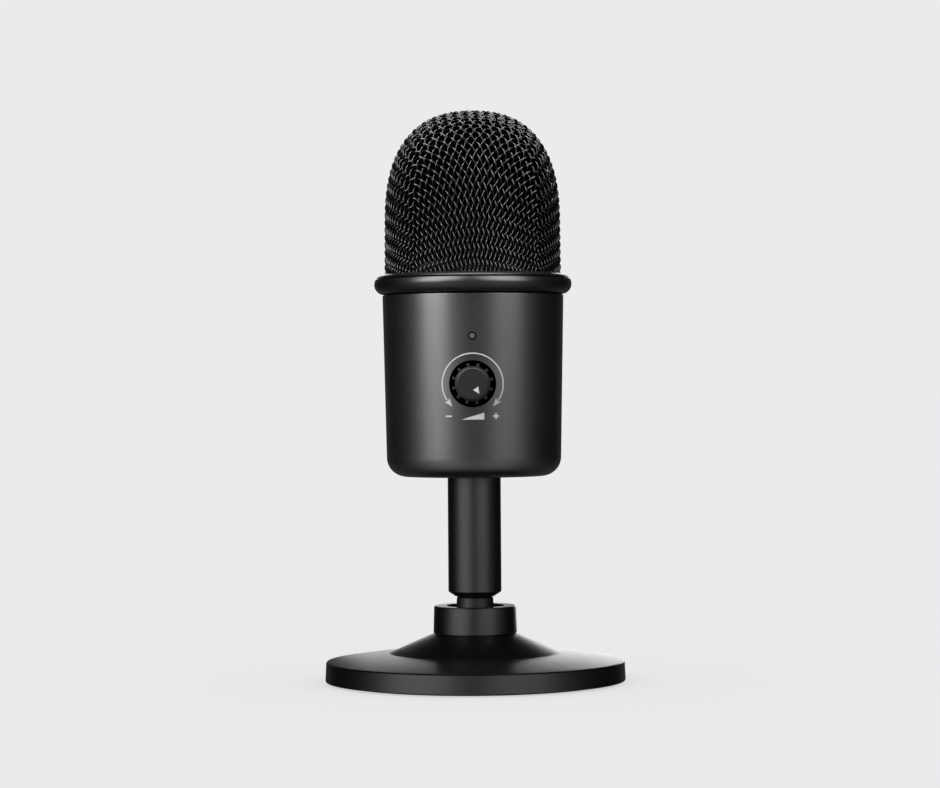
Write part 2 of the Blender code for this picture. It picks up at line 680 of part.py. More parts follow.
def make_stem_joint(pivot):
    """Brass bush clamped on the body's floor, and the stud that screws into it and into the stem."""
    bore = STUD_RADIUS + CLEARANCE
    flange_foot = FLOOR_TOP + CLEARANCE
    flange_top = flange_foot + INSERT_FLANGE
    top = flange_top + INSERT_BOSS
    profile = [(bore, top), (INSERT_RADIUS, top), (INSERT_RADIUS, flange_top),
               (INSERT_FLANGE_RADIUS, flange_top), (INSERT_FLANGE_RADIUS, flange_foot),
               (INSERT_RADIUS, flange_foot), (INSERT_RADIUS, BODY_FOOT + CLEARANCE),
               (bore, BODY_FOOT + CLEARANCE)]
    seat(turned("stem_insert", profile, "brass", ring=True, steps=INNER_STEPS), pivot, (0, 0, 0))
    stud_foot = STEM_TOP - STUD_IN_STEM
    stud_top = top - CLEARANCE
    profile = [(0.0, stud_top), (STUD_RADIUS, stud_top), (STUD_RADIUS, stud_foot), (0.0, stud_foot)]
    seat(turned("stem_stud", profile, "steel", steps=INNER_STEPS), pivot, (0, 0, 0))


def board_holes():
    """Screw places on the control board as x and z."""
    aside = BOARD_WIDTH / 2 - BOARD_HOLE_INSET
    low = BOARD_FOOT + BOARD_HOLE_INSET
    high = BOARD_TOP - BOARD_HOLE_INSET
    return [(x, z) for z in (low, high) for x in (-aside, aside)]


def usb_holes():
    """Screw places on the rear board as x and y."""
    aside = USB_BOARD_WIDTH / 2 - USB_HOLE_INSET
    return [(x, USB_BOARD_FRONT_Y + USB_HOLE_INSET) for x in (-aside, aside)]


def make_body_shell(pivot):
    fillet_level = BODY_FOOT + BODY_FILLET
    fillet_x = body_radius(fillet_level) - BODY_FILLET
    inner_fillet = BODY_FILLET - BODY_WALL
    rim = BODY_TOP_RADIUS
    profile = [(rim - BODY_EDGE, BODY_TOP), (rim, BODY_TOP - BODY_EDGE)]
    profile += arc(fillet_x, fillet_level, BODY_FILLET, 0.0, -pi / 2)
    profile += [(INSERT_RADIUS + CLEARANCE, BODY_FOOT), (INSERT_RADIUS + CLEARANCE, FLOOR_TOP)]
    profile += arc(fillet_x, FLOOR_TOP + inner_fillet, inner_fillet, -pi / 2, 0.0)
    profile += [(rim - BODY_WALL, BODY_TOP)]
    item = seat(turned("body_shell", profile, "body_paint", ring=True), pivot, (0, 0, 0))

    boss = WELL_RADIUS + WELL_WALL
    boss_y = CLEARANCE - sqrt(body_radius(KNOB_LEVEL) ** 2 - boss ** 2)
    boss_back = (0, WELL_FLOOR_Y + WELL_FLOOR, KNOB_LEVEL)
    shapes = [rod((0, boss_y, KNOB_LEVEL), boss_back, boss, ROUND_STEPS)]
    for x, z in board_holes():
        wall_y = CLEARANCE - sqrt(body_radius(z) ** 2 - (abs(x) + STANDOFF_RADIUS) ** 2)
        shapes.append(rod((x, wall_y, z), (x, BOARD_FRONT_Y - CLEARANCE, z), STANDOFF_RADIUS))
    for x, y in spaced_round(LUG_COUNT, LUG_RING):
        shapes.append(rod((x, y, LUG_TOP - LUG_LENGTH), (x, y, LUG_TOP), LUG_RADIUS))
    post_top = BODY_FOOT + USB_BOARD_RISE - CLEARANCE
    for x, y in usb_holes():
        shapes.append(rod((x, y, FLOOR_TOP - CLEARANCE), (x, y, post_top), USB_POST_RADIUS))
    join(item, "body_bosses", shapes)

    outside = -2 * BODY_TOP_RADIUS
    shapes = [rod((0, outside, KNOB_LEVEL), (0, WELL_FLOOR_Y, KNOB_LEVEL), WELL_RADIUS, ROUND_STEPS),
              rod((0, outside, LED_LEVEL), (0, BOARD_FRONT_Y, LED_LEVEL), LENS_RADIUS + LENS_GAP)]
    for x, z in board_holes():
        shapes.append(rod((x, BOARD_BACK_Y - SCREW_LENGTH, z), (x, BOARD_BACK_Y, z), SCREW_HOLE))
    for x, y in spaced_round(LUG_COUNT, LUG_RING):
        shapes.append(rod((x, y, DECK_TOP - SCREW_LENGTH), (x, y, DECK_TOP), SCREW_HOLE))
    for x, y in usb_holes():
        shapes.append(rod((x, y, USB_BOARD_TOP - SCREW_LENGTH), (x, y, USB_BOARD_TOP), SCREW_HOLE))
    cut(item, "body_openings", shapes)

    in_well = (0, WELL_FLOOR_Y - WELL_FLOOR, KNOB_LEVEL)
    shaft_hole = rod(in_well, (0, POT_FRONT_Y, KNOB_LEVEL), SHAFT_RADIUS + CLEARANCE, INNER_STEPS)
    cut(item, "shaft_opening", [shaft_hole])
    slot = stadium(SOCKET_WIDTH + 2 * CLEARANCE, SOCKET_HEIGHT + 2 * CLEARANCE)
    inlet = add_tool("inlet_opening", prism_mesh("inlet_opening", slot, BODY_TOP_RADIUS))
    seat(inlet, None, (0, SOCKET_MOUTH_Y, SOCKET_LEVEL), FACING_BACK)
    combine(item, inlet, 'DIFFERENCE')


def make_control_board(pivot, screw):
    low = (-BOARD_WIDTH / 2, BOARD_FRONT_Y, BOARD_FOOT)
    high = (BOARD_WIDTH / 2, BOARD_BACK_Y, BOARD_TOP)
    item = solid("control_board", block(low, high), "board_green", pivot)
    before = BOARD_FRONT_Y - BOARD_THICKNESS
    behind = BOARD_BACK_Y + BOARD_THICKNESS
    cut(item, "control_board_holes",
        [rod((x, before, z), (x, behind, z), SCREW_HOLE) for x, z in board_holes()])
    for number, (x, z) in enumerate(board_holes(), 1):
        add_screw(f"board_screw_{number}", screw, pivot, (x, BOARD_BACK_Y + CLEARANCE, z), FACING_BACK)


def connector_level():
    return BOARD_TOP - CONNECTOR_DROP


def make_board_parts(pivot):
    """What is soldered to the control board: potentiometer and light in front, the rest behind."""
    low = (-POT_WIDTH / 2, POT_FRONT_Y, KNOB_LEVEL - POT_HEIGHT / 2)
    high = (POT_WIDTH / 2, POT_FRONT_Y + POT_DEPTH, KNOB_LEVEL + POT_HEIGHT / 2)
    solid("pot_body", block(low, high), "black_plastic", pivot)

    light_y = BOARD_FRONT_Y - CLEARANCE
    low = (-LED_WIDTH / 2, light_y - LED_DEPTH, LED_LEVEL - LED_HEIGHT / 2)
    high = (LED_WIDTH / 2, light_y, LED_LEVEL + LED_HEIGHT / 2)
    solid("status_led", block(low, high), "nylon", pivot)

    back = BOARD_BACK_Y + CLEARANCE
    half = CHIP_WIDTH / 2
    chip = block((-half, back, KNOB_LEVEL - half), (half, back + CHIP_HEIGHT, KNOB_LEVEL + half))
    solid("audio_chip", chip, "black_plastic", pivot)

    foot = (-CAPACITOR_ASIDE, back, KNOB_LEVEL)
    top = (-CAPACITOR_ASIDE, back + CAPACITOR_LENGTH, KNOB_LEVEL)
    solid("filter_capacitor", rod(foot, top, CAPACITOR_RADIUS), "bare_aluminium", pivot)

    level = connector_level()
    low = (-CONNECTOR_WIDTH / 2, back, level - CONNECTOR_HEIGHT / 2)
    high = (CONNECTOR_WIDTH / 2, back + CONNECTOR_DEPTH, level + CONNECTOR_HEIGHT / 2)
    solid("lead_connector", block(low, high), "nylon", pivot)


def make_led_lens(pivot):
    """Light pipe from the board to the front of the shell, with a flange behind the wall."""
    front = body_radius(LED_LEVEL)
    back = -(BOARD_FRONT_Y - 2 * CLEARANCE - LED_DEPTH)
    wall_reach = sqrt((front - BODY_WALL) ** 2 - LENS_FLANGE_RADIUS ** 2)
    flange_front = wall_reach - CLEARANCE
    flange_back = flange_front - LENS_FLANGE
    profile = [(0.0, front), (LENS_RADIUS, front), (LENS_RADIUS, flange_front),
               (LENS_FLANGE_RADIUS, flange_front), (LENS_FLANGE_RADIUS, flange_back),
               (LENS_RADIUS, flange_back), (LENS_RADIUS, back), (0.0, back)]
    item = turned("led_lens", profile, "lens_plastic", steps=SMALL_STEPS)
    seat(item, pivot, (0, 0, LED_LEVEL), FACING_FRONT)


def make_gain_knob(pivot):
    """Fluted knob on the potentiometer's shaft. Its axis points out of the front."""
    bore = SHAFT_RADIUS + CLEARANCE
    roof = KNOB_LENGTH - KNOB_ROOF
    cap = KNOB_CAP_RADIUS
    profile = [(0.0, KNOB_LENGTH), (cap - KNOB_CHAMFER, KNOB_LENGTH), (cap, KNOB_LENGTH - KNOB_CHAMFER),
               (KNOB_DRUM_RADIUS, 0.0), (bore, 0.0), (bore, roof), (0.0, roof)]
    back_y = WELL_FLOOR_Y - CLEARANCE
    item = turned("gain_knob", profile, "knob_plastic")
    seat(item, pivot, (0, back_y, KNOB_LEVEL), FACING_FRONT)
    half = RIB_WIDTH / 2
    rib = block(((bore + cap) / 2, -half, CLEARANCE), (RIB_RADIUS, half, KNOB_LENGTH - RIB_SHOULDER))
    turns = [pi / 2 - RIB_TURN - 2 * pi * number / RIB_COUNT for number in range(RIB_COUNT)]
    ribs = add_tool("knob_ribs", mesh_of("knob_ribs", [swung(rib, turn) for turn in turns]))
    combine(item, seat(ribs, pivot, (0, back_y, KNOB_LEVEL), FACING_FRONT), 'UNION')

    shaft_back = POT_FRONT_Y - CLEARANCE
    shaft_front = roof - CLEARANCE + shaft_back - back_y
    profile = [(0.0, shaft_front), (SHAFT_RADIUS, shaft_front), (SHAFT_RADIUS, 0.0), (0.0, 0.0)]
    shaft = turned("pot_shaft", profile, "bare_aluminium", steps=INNER_STEPS)
    seat(shaft, pivot, (0, shaft_back, KNOB_LEVEL), FACING_FRONT)


def make_rear_inlet(pivot, screw):
    low = (-USB_BOARD_WIDTH / 2, USB_BOARD_FRONT_Y, USB_BOARD_TOP - USB_BOARD_THICKNESS)
    high = (USB_BOARD_WIDTH / 2, USB_BOARD_BACK_Y, USB_BOARD_TOP)
    board = solid("usb_board", block(low, high), "board_green", pivot)
    under = USB_BOARD_TOP - 2 * USB_BOARD_THICKNESS
    over = USB_BOARD_TOP + USB_BOARD_THICKNESS
    cut(board, "usb_board_holes", [rod((x, y, under), (x, y, over), SCREW_HOLE) for x, y in usb_holes()])
    for number, (x, y) in enumerate(usb_holes(), 1):
        add_screw(f"usb_screw_{number}", screw, pivot, (x, y, USB_BOARD_TOP + CLEARANCE))

    can = prism_mesh("usb_socket", stadium(SOCKET_WIDTH, SOCKET_HEIGHT), SOCKET_LENGTH)
    socket = add_part("usb_socket", can, "steel")
    seat(socket, pivot, (0, SOCKET_MOUTH_Y - SOCKET_LENGTH / 2, SOCKET_LEVEL), FACING_BACK)
    inside = stadium(SOCKET_WIDTH - 2 * SOCKET_SHEET, SOCKET_HEIGHT - 2 * SOCKET_SHEET)
    hollow = add_tool("usb_socket_hollow", prism_mesh("usb_socket_hollow", inside, SOCKET_LENGTH))
    seat(hollow, None, (0, SOCKET_MOUTH_Y - SOCKET_LENGTH / 2 + SOCKET_SHEET, SOCKET_LEVEL), FACING_BACK)
    combine(socket, hollow, 'DIFFERENCE')

    back = SOCKET_MOUTH_Y - SOCKET_LENGTH + SOCKET_SHEET + CLEARANCE
    half = TONGUE_THICKNESS / 2
    tongue = block((-TONGUE_WIDTH / 2, back, SOCKET_LEVEL - half),
                   (TONGUE_WIDTH / 2, SOCKET_MOUTH_Y - TONGUE_SHORT, SOCKET_LEVEL + half))
    solid("usb_tongue", tongue, "black_plastic", pivot)


def bezier(points, share):
    """A point on a cubic curve given by four points."""
    rest = 1 - share
    weights = (rest ** 3, 3 * rest ** 2 * share, 3 * rest * share ** 2, share ** 3)
    return sum((Vector(point) * weight for point, weight in zip(points, weights)), Vector((0, 0, 0)))


def make_board_link(pivot):
    """Flat ribbon from the rear board up the back of the control board."""
    half = LINK_THICKNESS / 2
    start_y = USB_BOARD_FRONT_Y + USB_HOLE_INSET
    start_z = USB_BOARD_TOP + CLEARANCE + half
    end_y = BOARD_BACK_Y + CLEARANCE + half
    end_z = KNOB_LEVEL - CHIP_WIDTH / 2 - LINK_UNDER_CHIP
    corner = (0, end_y, start_z + half)
    route = [(0, start_y, start_z), (0, start_y - LINK_REACH, start_z), corner,
             (0, end_y, end_z)]
    mesh = bpy.data.meshes.new("board_link")
    work = bmesh.new()
    side = Vector((LINK_WIDTH / 2, 0, 0))
    rows = [bezier(route, step / LINK_STEPS) for step in range(LINK_STEPS + 1)]
    verts = [work.verts.new(point - side) for point in rows]
    edges = [work.edges.new(pair) for pair in zip(verts, verts[1:])]
    wide = bmesh.ops.extrude_edge_only(work, edges=edges)["geom"]
    moved = [item for item in wide if isinstance(item, bmesh.types.BMVert)]
    bmesh.ops.translate(work, verts=moved, vec=2 * side)
    bmesh.ops.recalc_face_normals(work, faces=work.faces)
    work.to_mesh(mesh)
    work.free()
    item = seat(add_part("board_link", mesh, "cable_grey"), pivot, (0, 0, 0))
    thick = item.modifiers.new("Thickness", 'SOLIDIFY')
    thick.thickness = LINK_THICKNESS
    thick.offset = 0.0


def make_deck(pivot, screw):
    edge = body_radius(DECK_FOOT) - BODY_WALL - CLEARANCE
    profile = [(0.0, DECK_TOP), (edge, DECK_TOP), (edge, DECK_FOOT), (0.0, DECK_FOOT)]
    item = seat(turned("deck_plate", profile, "black_plastic", steps=INNER_STEPS), pivot, (0, 0, 0))
    over = DECK_TOP + DECK_THICKNESS
    under = DECK_FOOT - DECK_THICKNESS
    lugs = spaced_round(LUG_COUNT, LUG_RING)
    holes = [rod((x, y, under), (x, y, over), SCREW_HOLE) for x, y in lugs + post_holes()]
    holes.append(rod((0, LEAD_BEHIND, under), (0, LEAD_BEHIND, over), LEAD_HOLE_RADIUS))
    cut(item, "deck_holes", holes)
    for number, (x, y) in enumerate(lugs, 1):
        add_screw(f"deck_screw_{number}", screw, pivot, (x, y, DECK_TOP + CLEARANCE))


def make_trim_ring(pivot):
    """Half-round bumper ring. Its step carries the foot of the grille."""
    half = TRIM_HEIGHT / 2
    upper_bore = GRILLE_RADIUS + CLEARANCE
    lower_bore = BAND_RADIUS + CLEARANCE
    start = acos((upper_bore - TRIM_MIDDLE_RADIUS) / half)
    profile = arc(TRIM_MIDDLE_RADIUS, half, half, start, -pi / 2, HALF_ROUND_POINTS)
    profile += [(lower_bore, 0.0), (lower_bore, TRIM_SEAT), (upper_bore, TRIM_SEAT)]
    seat(turned("trim_ring", profile, "trim_paint", ring=True), pivot, (0, 0, RING_FOOT))


def dome_point(share, inset):
    """Radius and height over the grille's foot, at a share of the dome's half turn from foot to top."""
    turn = share * pi / 2
    radius = GRILLE_SHOULDER_RADIUS - inset
    return (radius * cos(turn) ** (2 / GRILLE_POWER),
            GRILLE_STRAIGHT + (GRILLE_CROWN - inset) * sin(turn) ** (2 / GRILLE_POWER))


def dome_profile(inset, points):
    """The dome's outline from its top down to its foot, a distance inside its outer face."""
    crown = [dome_point(1 - step / points, inset) for step in range(points + 1)]
    crown[0] = (0.0, crown[0][1])
    return crown + [(GRILLE_RADIUS - inset, 0.0)]


def along_profile(profile, share):
    """The point at a share of a profile's length."""
    lengths = [hypot(b[0] - a[0], b[1] - a[1]) for a, b in zip(profile, profile[1:])]
    wanted = share * sum(lengths)
    for (a, b), length in zip(zip(profile, profile[1:]), lengths):
        if wanted <= length:
            part = wanted / length
            return (a[0] + (b[0] - a[0]) * part, a[1] + (b[1] - a[1]) * part)
        wanted -= length
    return profile[-1]


def make_grille(pivot):
    """A square net drawn over the dome, one bias corner facing the front."""
    half = GRILLE_WIRE / 2
    profile = dome_profile(half, DOME_POINTS)[:-1] + [(GRILLE_RADIUS - half, half)]
    work = bmesh.new()
    bmesh.ops.create_grid(work, x_segments=GRILLE_CELLS, y_segments=GRILLE_CELLS, size=1.0)
    for vert in work.verts:
        x, y = vert.co.x, vert.co.y
        flat = Vector((x * sqrt(1 - y * y / 2), y * sqrt(1 - x * x / 2)))
        radius, height = along_profile(profile, min(flat.length, 1.0))
        turn = atan2(flat.y, flat.x) + pi / 4 + GRILLE_TURN
        vert.co = (radius * cos(turn), radius * sin(turn), height)
    bmesh.ops.recalc_face_normals(work, faces=work.faces)
    mesh = bpy.data.meshes.new("grille")
    work.to_mesh(mesh)
    work.free()
    item = seat(add_part("grille", mesh, "grille_wire"), pivot, (0, 0, GRILLE_FOOT))
    wires = item.modifiers.new("Wires", 'WIREFRAME')
    wires.thickness = GRILLE_WIRE
    wires.use_boundary = True
    wires.use_even_offset = False


def make_grille_band(pivot):
    inner = BAND_RADIUS - BAND_THICKNESS
    profile = [(inner, BAND_HEIGHT), (BAND_RADIUS, BAND_HEIGHT), (BAND_RADIUS, 0.0), (inner, 0.0)]
    band = turned("grille_band", profile, "black_steel", ring=True, steps=INNER_STEPS)
    seat(band, pivot, (0, 0, RING_FOOT))


def make_foam_liner(pivot):
    """Foam cap inside the grille, gripped by the band and standing on the deck's screw heads."""
    inset = GRILLE_RADIUS - FOAM_RADIUS
    foot = DECK_TOP + SCREW_HEAD + 2 * CLEARANCE - GRILLE_FOOT
    outer = dome_profile(inset, FOAM_POINTS)[:-1]
    inner = dome_profile(inset + FOAM_THICKNESS, FOAM_POINTS)[:-1]
    profile = outer + [(FOAM_RADIUS, foot), (FOAM_RADIUS - FOAM_THICKNESS, foot)] + inner[::-1]
    seat(turned("foam_liner", profile, "foam", steps=INNER_STEPS), pivot, (0, 0, GRILLE_FOOT))


def make_capsule(pivot):
    """The pick-up, its rubber ring and the cradle on a post that holds both. Axes point to the front."""
    place = (0, 0, CAPSULE_LEVEL)
    half = CAPSULE_LENGTH / 2
    profile = [(0.0, half), (CAPSULE_RADIUS - CAPSULE_EDGE, half), (CAPSULE_RADIUS, half - CAPSULE_EDGE),
               (CAPSULE_RADIUS, -half), (0.0, -half)]
    seat(turned("capsule", profile, "bare_aluminium", steps=INNER_STEPS), pivot, place, FACING_FRONT)

    half = MOUNT_LENGTH / 2
    outer = MOUNT_BORE + MOUNT_WALL
    profile = [(MOUNT_BORE, half), (outer, half), (outer, -half), (MOUNT_BORE, -half)]
    ring = turned("capsule_mount", profile, "rubber", ring=True, steps=INNER_STEPS)
    seat(ring, pivot, place, FACING_FRONT)

    half = CRADLE_LENGTH / 2
    outer = CRADLE_BORE + CRADLE_WALL
    profile = [(CRADLE_BORE, half), (outer, half), (outer, -half), (CRADLE_BORE, -half)]
    post = turned("capsule_post", profile, "black_plastic", ring=True, steps=INNER_STEPS)
    seat(post, pivot, place, FACING_FRONT)
    foot = DECK_TOP + CLEARANCE
    foot_top = foot + POST_FOOT_HEIGHT
    reach = CAPSULE_LEVEL - (CRADLE_BORE + outer) / 2
    column = block((-POST_WIDTH / 2, -POST_THICKNESS / 2, foot + POST_FOOT_HEIGHT / 2),
                   (POST_WIDTH / 2, POST_THICKNESS / 2, reach))
    join(post, "post_column", [column])
    plinth = block((-POST_FOOT_WIDTH / 2, -POST_FOOT_DEPTH / 2, foot),
                   (POST_FOOT_WIDTH / 2, POST_FOOT_DEPTH / 2, foot_top))
    join(post, "post_plinth", [plinth])
    over = foot_top + POST_FOOT_HEIGHT
    cut(post, "post_holes", [rod((x, y, DECK_FOOT), (x, y, over), SCREW_HOLE) for x, y in post_holes()])


def post_holes():
    """Screw places on the foot of the capsule's post as x and y."""
    aside = POST_FOOT_WIDTH / 2 - POST_SCREW_INSET
    return [(-aside, 0.0), (aside, 0.0)]


def make_post_screws(pivot, screw):
    level = DECK_TOP + POST_FOOT_HEIGHT + 2 * CLEARANCE
    for number, (x, y) in enumerate(post_holes(), 1):
        add_screw(f"post_screw_{number}", screw, pivot, (x, y, level))


def smooth_route(points, spacing):
    """Evenly spaced points on a smooth curve through a route's own points."""
    points = [Vector(point) for point in points]
    ends = [2 * points[0] - points[1], *points, 2 * points[-1] - points[-2]]
    fine = []
    for a, b, c, d in zip(ends, ends[1:], ends[2:], ends[3:]):
        for step in range(LEAD_FINE_STEPS):
            t = step / LEAD_FINE_STEPS
            bend = (2 * a - 5 * b + 4 * c - d) * t ** 2 + (3 * b - a - 3 * c + d) * t ** 3
            fine.append(b + ((c - a) * t + bend) / 2)
    fine.append(points[-1])
    lengths = [(b - a).length for a, b in zip(fine, fine[1:])]
    count = ceil(sum(lengths) / spacing)
    route = [fine[0]]
    for number in range(1, count):
        wanted = sum(lengths) * number / count
        index = 0
        while wanted > lengths[index]:
            wanted -= lengths[index]
            index += 1
        route.append(fine[index].lerp(fine[index + 1], wanted / lengths[index]))
    return route + [fine[-1]]


def make_capsule_lead(pivot):
    """Lead from the back of the capsule, down behind its post and through the deck to the connector."""
    start = CAPSULE_LENGTH / 2 + CLEARANCE
    back = LEAD_BEHIND
    end = BOARD_BACK_Y + CONNECTOR_DEPTH + 2 * CLEARANCE
    level = connector_level()
    middle = (CAPSULE_LEVEL + DECK_TOP) / 2
    points = [(0, start, CAPSULE_LEVEL), (0, (start + back) / 2, CAPSULE_LEVEL),
              (0, back, (CAPSULE_LEVEL + middle) / 2), (0, back, middle), (0, back, DECK_TOP),
              (0, back, (DECK_FOOT + level) / 2), (0, (back + end) / 2, level), (0, end, level)]
    curve = bpy.data.curves.new("capsule_lead", 'CURVE')
    curve.dimensions = '3D'
    curve.bevel_depth = LEAD_RADIUS
    curve.bevel_resolution = LEAD_RESOLUTION
    curve.use_fill_caps = True
    route = smooth_route(points, LEAD_SPACING)
    spline = curve.splines.new('POLY')
    spline.points.add(len(route) - 1)
    for point, place in zip(spline.points, route):
        point.co = (*place, 1.0)
    mesh = mesh_from_curve("capsule_lead", curve)
    seat(add_part("capsule_lead", mesh, "rubber"), pivot, (0, 0, 0))


def build():
    clear_scene()
    new_collection("desktop_microphone")
    new_collection("cutters")
    screw = screw_mesh()

    root = add_pivot("base_axis", None, (0, 0, 0))
    make_base_shell(root)
    make_base_weight(root)
    make_base_plate(root, screw)
    make_foot_pad(root)
    make_collar(root)
    make_seat_spring(root)

    pan = add_pivot("pan_axis", root, (0, 0, BALL_LEVEL))
    make_ball_seat(pan)
    tilt = add_pivot("tilt_axis", pan, (0, 0, BALL_LEVEL))
    make_ball_stud(tilt)

    head = add_pivot("spin_axis", tilt, (0, 0, BALL_LEVEL))
    make_stem(head)
    make_stem_joint(head)
    make_body_shell(head)
    make_control_board(head, screw)
    make_board_parts(head)
    make_led_lens(head)
    make_rear_inlet(head, screw)
    make_board_link(head)
    make_deck(head, screw)
    make_trim_ring(head)
    make_grille(head)
    make_grille_band(head)
    make_foam_liner(head)
    make_capsule(head)
    make_post_screws(head, screw)
    make_capsule_lead(head)

    knob = add_pivot("knob_axis", head, (0, WELL_FLOOR_Y, KNOB_LEVEL))
    make_gain_knob(knob)
    apply_shapes()


build()
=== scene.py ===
# %% [markdown]
# # A desktop microphone, dressed for its portrait
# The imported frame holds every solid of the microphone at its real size, already on its joints.
# This lesson gives the solids their surfaces: smooth turned shells, a woven dome, paint, rubber and print.
# We load the frame first, because each piece below takes its place and its size from it.

# %% Load the frame
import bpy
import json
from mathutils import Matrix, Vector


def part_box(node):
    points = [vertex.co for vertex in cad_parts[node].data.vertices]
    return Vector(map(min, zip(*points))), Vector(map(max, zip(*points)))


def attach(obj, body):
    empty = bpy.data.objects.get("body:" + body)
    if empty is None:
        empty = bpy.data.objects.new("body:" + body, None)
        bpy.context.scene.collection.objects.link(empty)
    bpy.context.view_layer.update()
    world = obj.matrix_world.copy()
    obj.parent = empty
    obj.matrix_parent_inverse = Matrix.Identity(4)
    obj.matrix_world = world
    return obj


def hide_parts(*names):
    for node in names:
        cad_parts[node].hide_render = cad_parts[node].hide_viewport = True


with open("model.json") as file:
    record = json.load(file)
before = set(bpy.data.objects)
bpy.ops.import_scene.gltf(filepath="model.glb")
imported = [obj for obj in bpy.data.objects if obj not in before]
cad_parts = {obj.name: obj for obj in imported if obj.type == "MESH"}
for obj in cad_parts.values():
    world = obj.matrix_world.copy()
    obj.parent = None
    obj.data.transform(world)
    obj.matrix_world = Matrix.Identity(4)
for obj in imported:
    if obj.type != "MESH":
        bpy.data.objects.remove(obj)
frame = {"nodes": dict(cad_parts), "record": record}
print("solids in the frame:", len(frame["nodes"]))

# %% [markdown]
# ## Measure before modelling
# Blender works in metres and this object in millimetres, so one value turns one into the other.
# box_mm gives the box of one solid of the frame, in millimetres.

# %% Units and the boxes of the solids
import json
from math import acos, asin, atan2, cos, degrees, hypot, pi, radians, sin, sqrt

import bpy
import numpy as np
from mathutils import Euler, Matrix, Vector

MM = 0.001
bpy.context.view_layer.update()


def box_mm(node):
    """A solid's lowest and highest corner in millimetres."""
    low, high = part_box(node)
    return low / MM, high / MM


# %% [markdown]
# ## Selecting by code
# By hand you click on what an operator is to change. A script has no mouse, so two helpers do it: `take`
# selects whole objects and nothing else, and `pick` selects the vertices, edges or faces that pass a test.

# %% Selecting
def take(*pieces):
    """Select these objects alone. The first one becomes the active one."""
    if bpy.context.object and bpy.context.object.mode != "OBJECT":
        bpy.ops.object.mode_set(mode="OBJECT")
    bpy.ops.object.select_all(action="DESELECT")
    for piece in pieces:
        piece.select_set(True)
    if pieces:
        bpy.context.view_layer.objects.active = pieces[0]


def pick(piece, kind, test):
    """Enter edit mode with just those vertices, edges or faces selected that pass the test."""
    take(piece)
    bpy.ops.object.mode_set(mode="EDIT")
    bpy.ops.mesh.select_mode(type=kind)
    bpy.ops.mesh.select_all(action="DESELECT")
    bpy.ops.object.mode_set(mode="OBJECT")
    parts = {"VERT": piece.data.vertices, "EDGE": piece.data.edges, "FACE": piece.data.polygons}
    for part in parts[kind]:
        part.select = test(part)
    bpy.ops.object.mode_set(mode="EDIT")


take()
print("objects left selected:", len(bpy.context.selected_objects))

# %% [markdown]
# ## Drawing from one vertex
# An outline needs a first vertex to start from. A plane is merged to a single one, which is then extruded
# point by point. Listing vertices and edges by hand would be shorter, but this is how it is done by hand.

# %% First vertex
MERGE = 0.0005 * MM


def start_vertex(name, x, y, z):
    """A new mesh object of one vertex, left in edit mode."""
    take()
    bpy.ops.mesh.primitive_plane_add()
    piece = bpy.context.object
    piece.name = piece.data.name = name
    bpy.ops.object.mode_set(mode="EDIT")
    bpy.ops.mesh.merge(type="CENTER")
    bpy.ops.transform.translate(value=Vector((x, y, z)) * MM)
    return piece


def draw_on(x, y, z):
    """Extrude the last vertex by a step in millimetres."""
    bpy.ops.mesh.extrude_vertices_move(TRANSFORM_OT_translate={"value": Vector((x, y, z)) * MM})


def close_up():
    """Merge what meets, point every face outwards and go back to object mode."""
    bpy.ops.mesh.select_all(action="SELECT")
    bpy.ops.mesh.remove_doubles(threshold=MERGE)
    bpy.ops.mesh.normals_make_consistent(inside=False)
    bpy.ops.object.mode_set(mode="OBJECT")


print(f"vertices closer than {MERGE / MM} mm are merged")

# %% [markdown]
# ## Turning on a lathe
# Nearly every shell of this object was turned or spun, so one tool makes them all: half an outline is drawn
# from its first vertex, and Spin sweeps it round the axis. A Screw modifier would do the same, but Spin
# leaves a plain mesh that later steps can cut and bevel.

# %% Lathe
FINE, ROUND, PLAIN = 192, 144, 96


def turned(name, outline, steps=ROUND):
    """Spin an outline of radius and height in millimetres once round the Z axis."""
    radius, height = outline[0]
    piece = start_vertex(name, radius, 0, height)
    for (r0, z0), (r1, z1) in zip(outline, outline[1:]):
        draw_on(r1 - r0, 0, z1 - z0)
    bpy.ops.mesh.select_all(action="SELECT")
    bpy.ops.mesh.spin(steps=steps, angle=2 * pi, center=(0, 0, 0), axis=(0, 0, 1))
    close_up()
    print(f"{name}: {len(outline)} outline points, {len(piece.data.polygons)} faces")
    return piece


def arc(centre_r, centre_z, radius, start, end, points=8):
    """Outline points on an arc, in degrees from the outward direction towards up."""
    turns = [radians(start + (end - start) * step / points) for step in range(points + 1)]
    return [(centre_r + radius * cos(turn), centre_z + radius * sin(turn)) for turn in turns]


print("sides of a fine, a round and a plain piece:", FINE, ROUND, PLAIN)

# %% [markdown]
# ## Soft edges
# A real edge is never perfectly sharp: it catches a thin line of light. A Bevel modifier would round every
# edge alike, so `soften_ring` finds the one round edge at a radius and height and bevels that alone.

# %% Bevel of one ring
NEAR = 0.02


def soften_ring(piece, radius, height, width, segments=4):
    """Bevel the round edge that lies at one radius and height, all in millimetres."""
    on_ring = [abs(hypot(v.co.x, v.co.y) / MM - radius) < NEAR and abs(v.co.z / MM - height) < NEAR
               for v in piece.data.vertices]
    pick(piece, "EDGE", lambda edge: all(on_ring[vertex] for vertex in edge.vertices))
    bpy.ops.mesh.bevel(offset=width * MM, segments=segments, affect="EDGES")
    bpy.ops.mesh.select_mode(type="VERT")
    bpy.ops.object.mode_set(mode="OBJECT")


print(f"an edge counts as on the ring within {NEAR} mm")

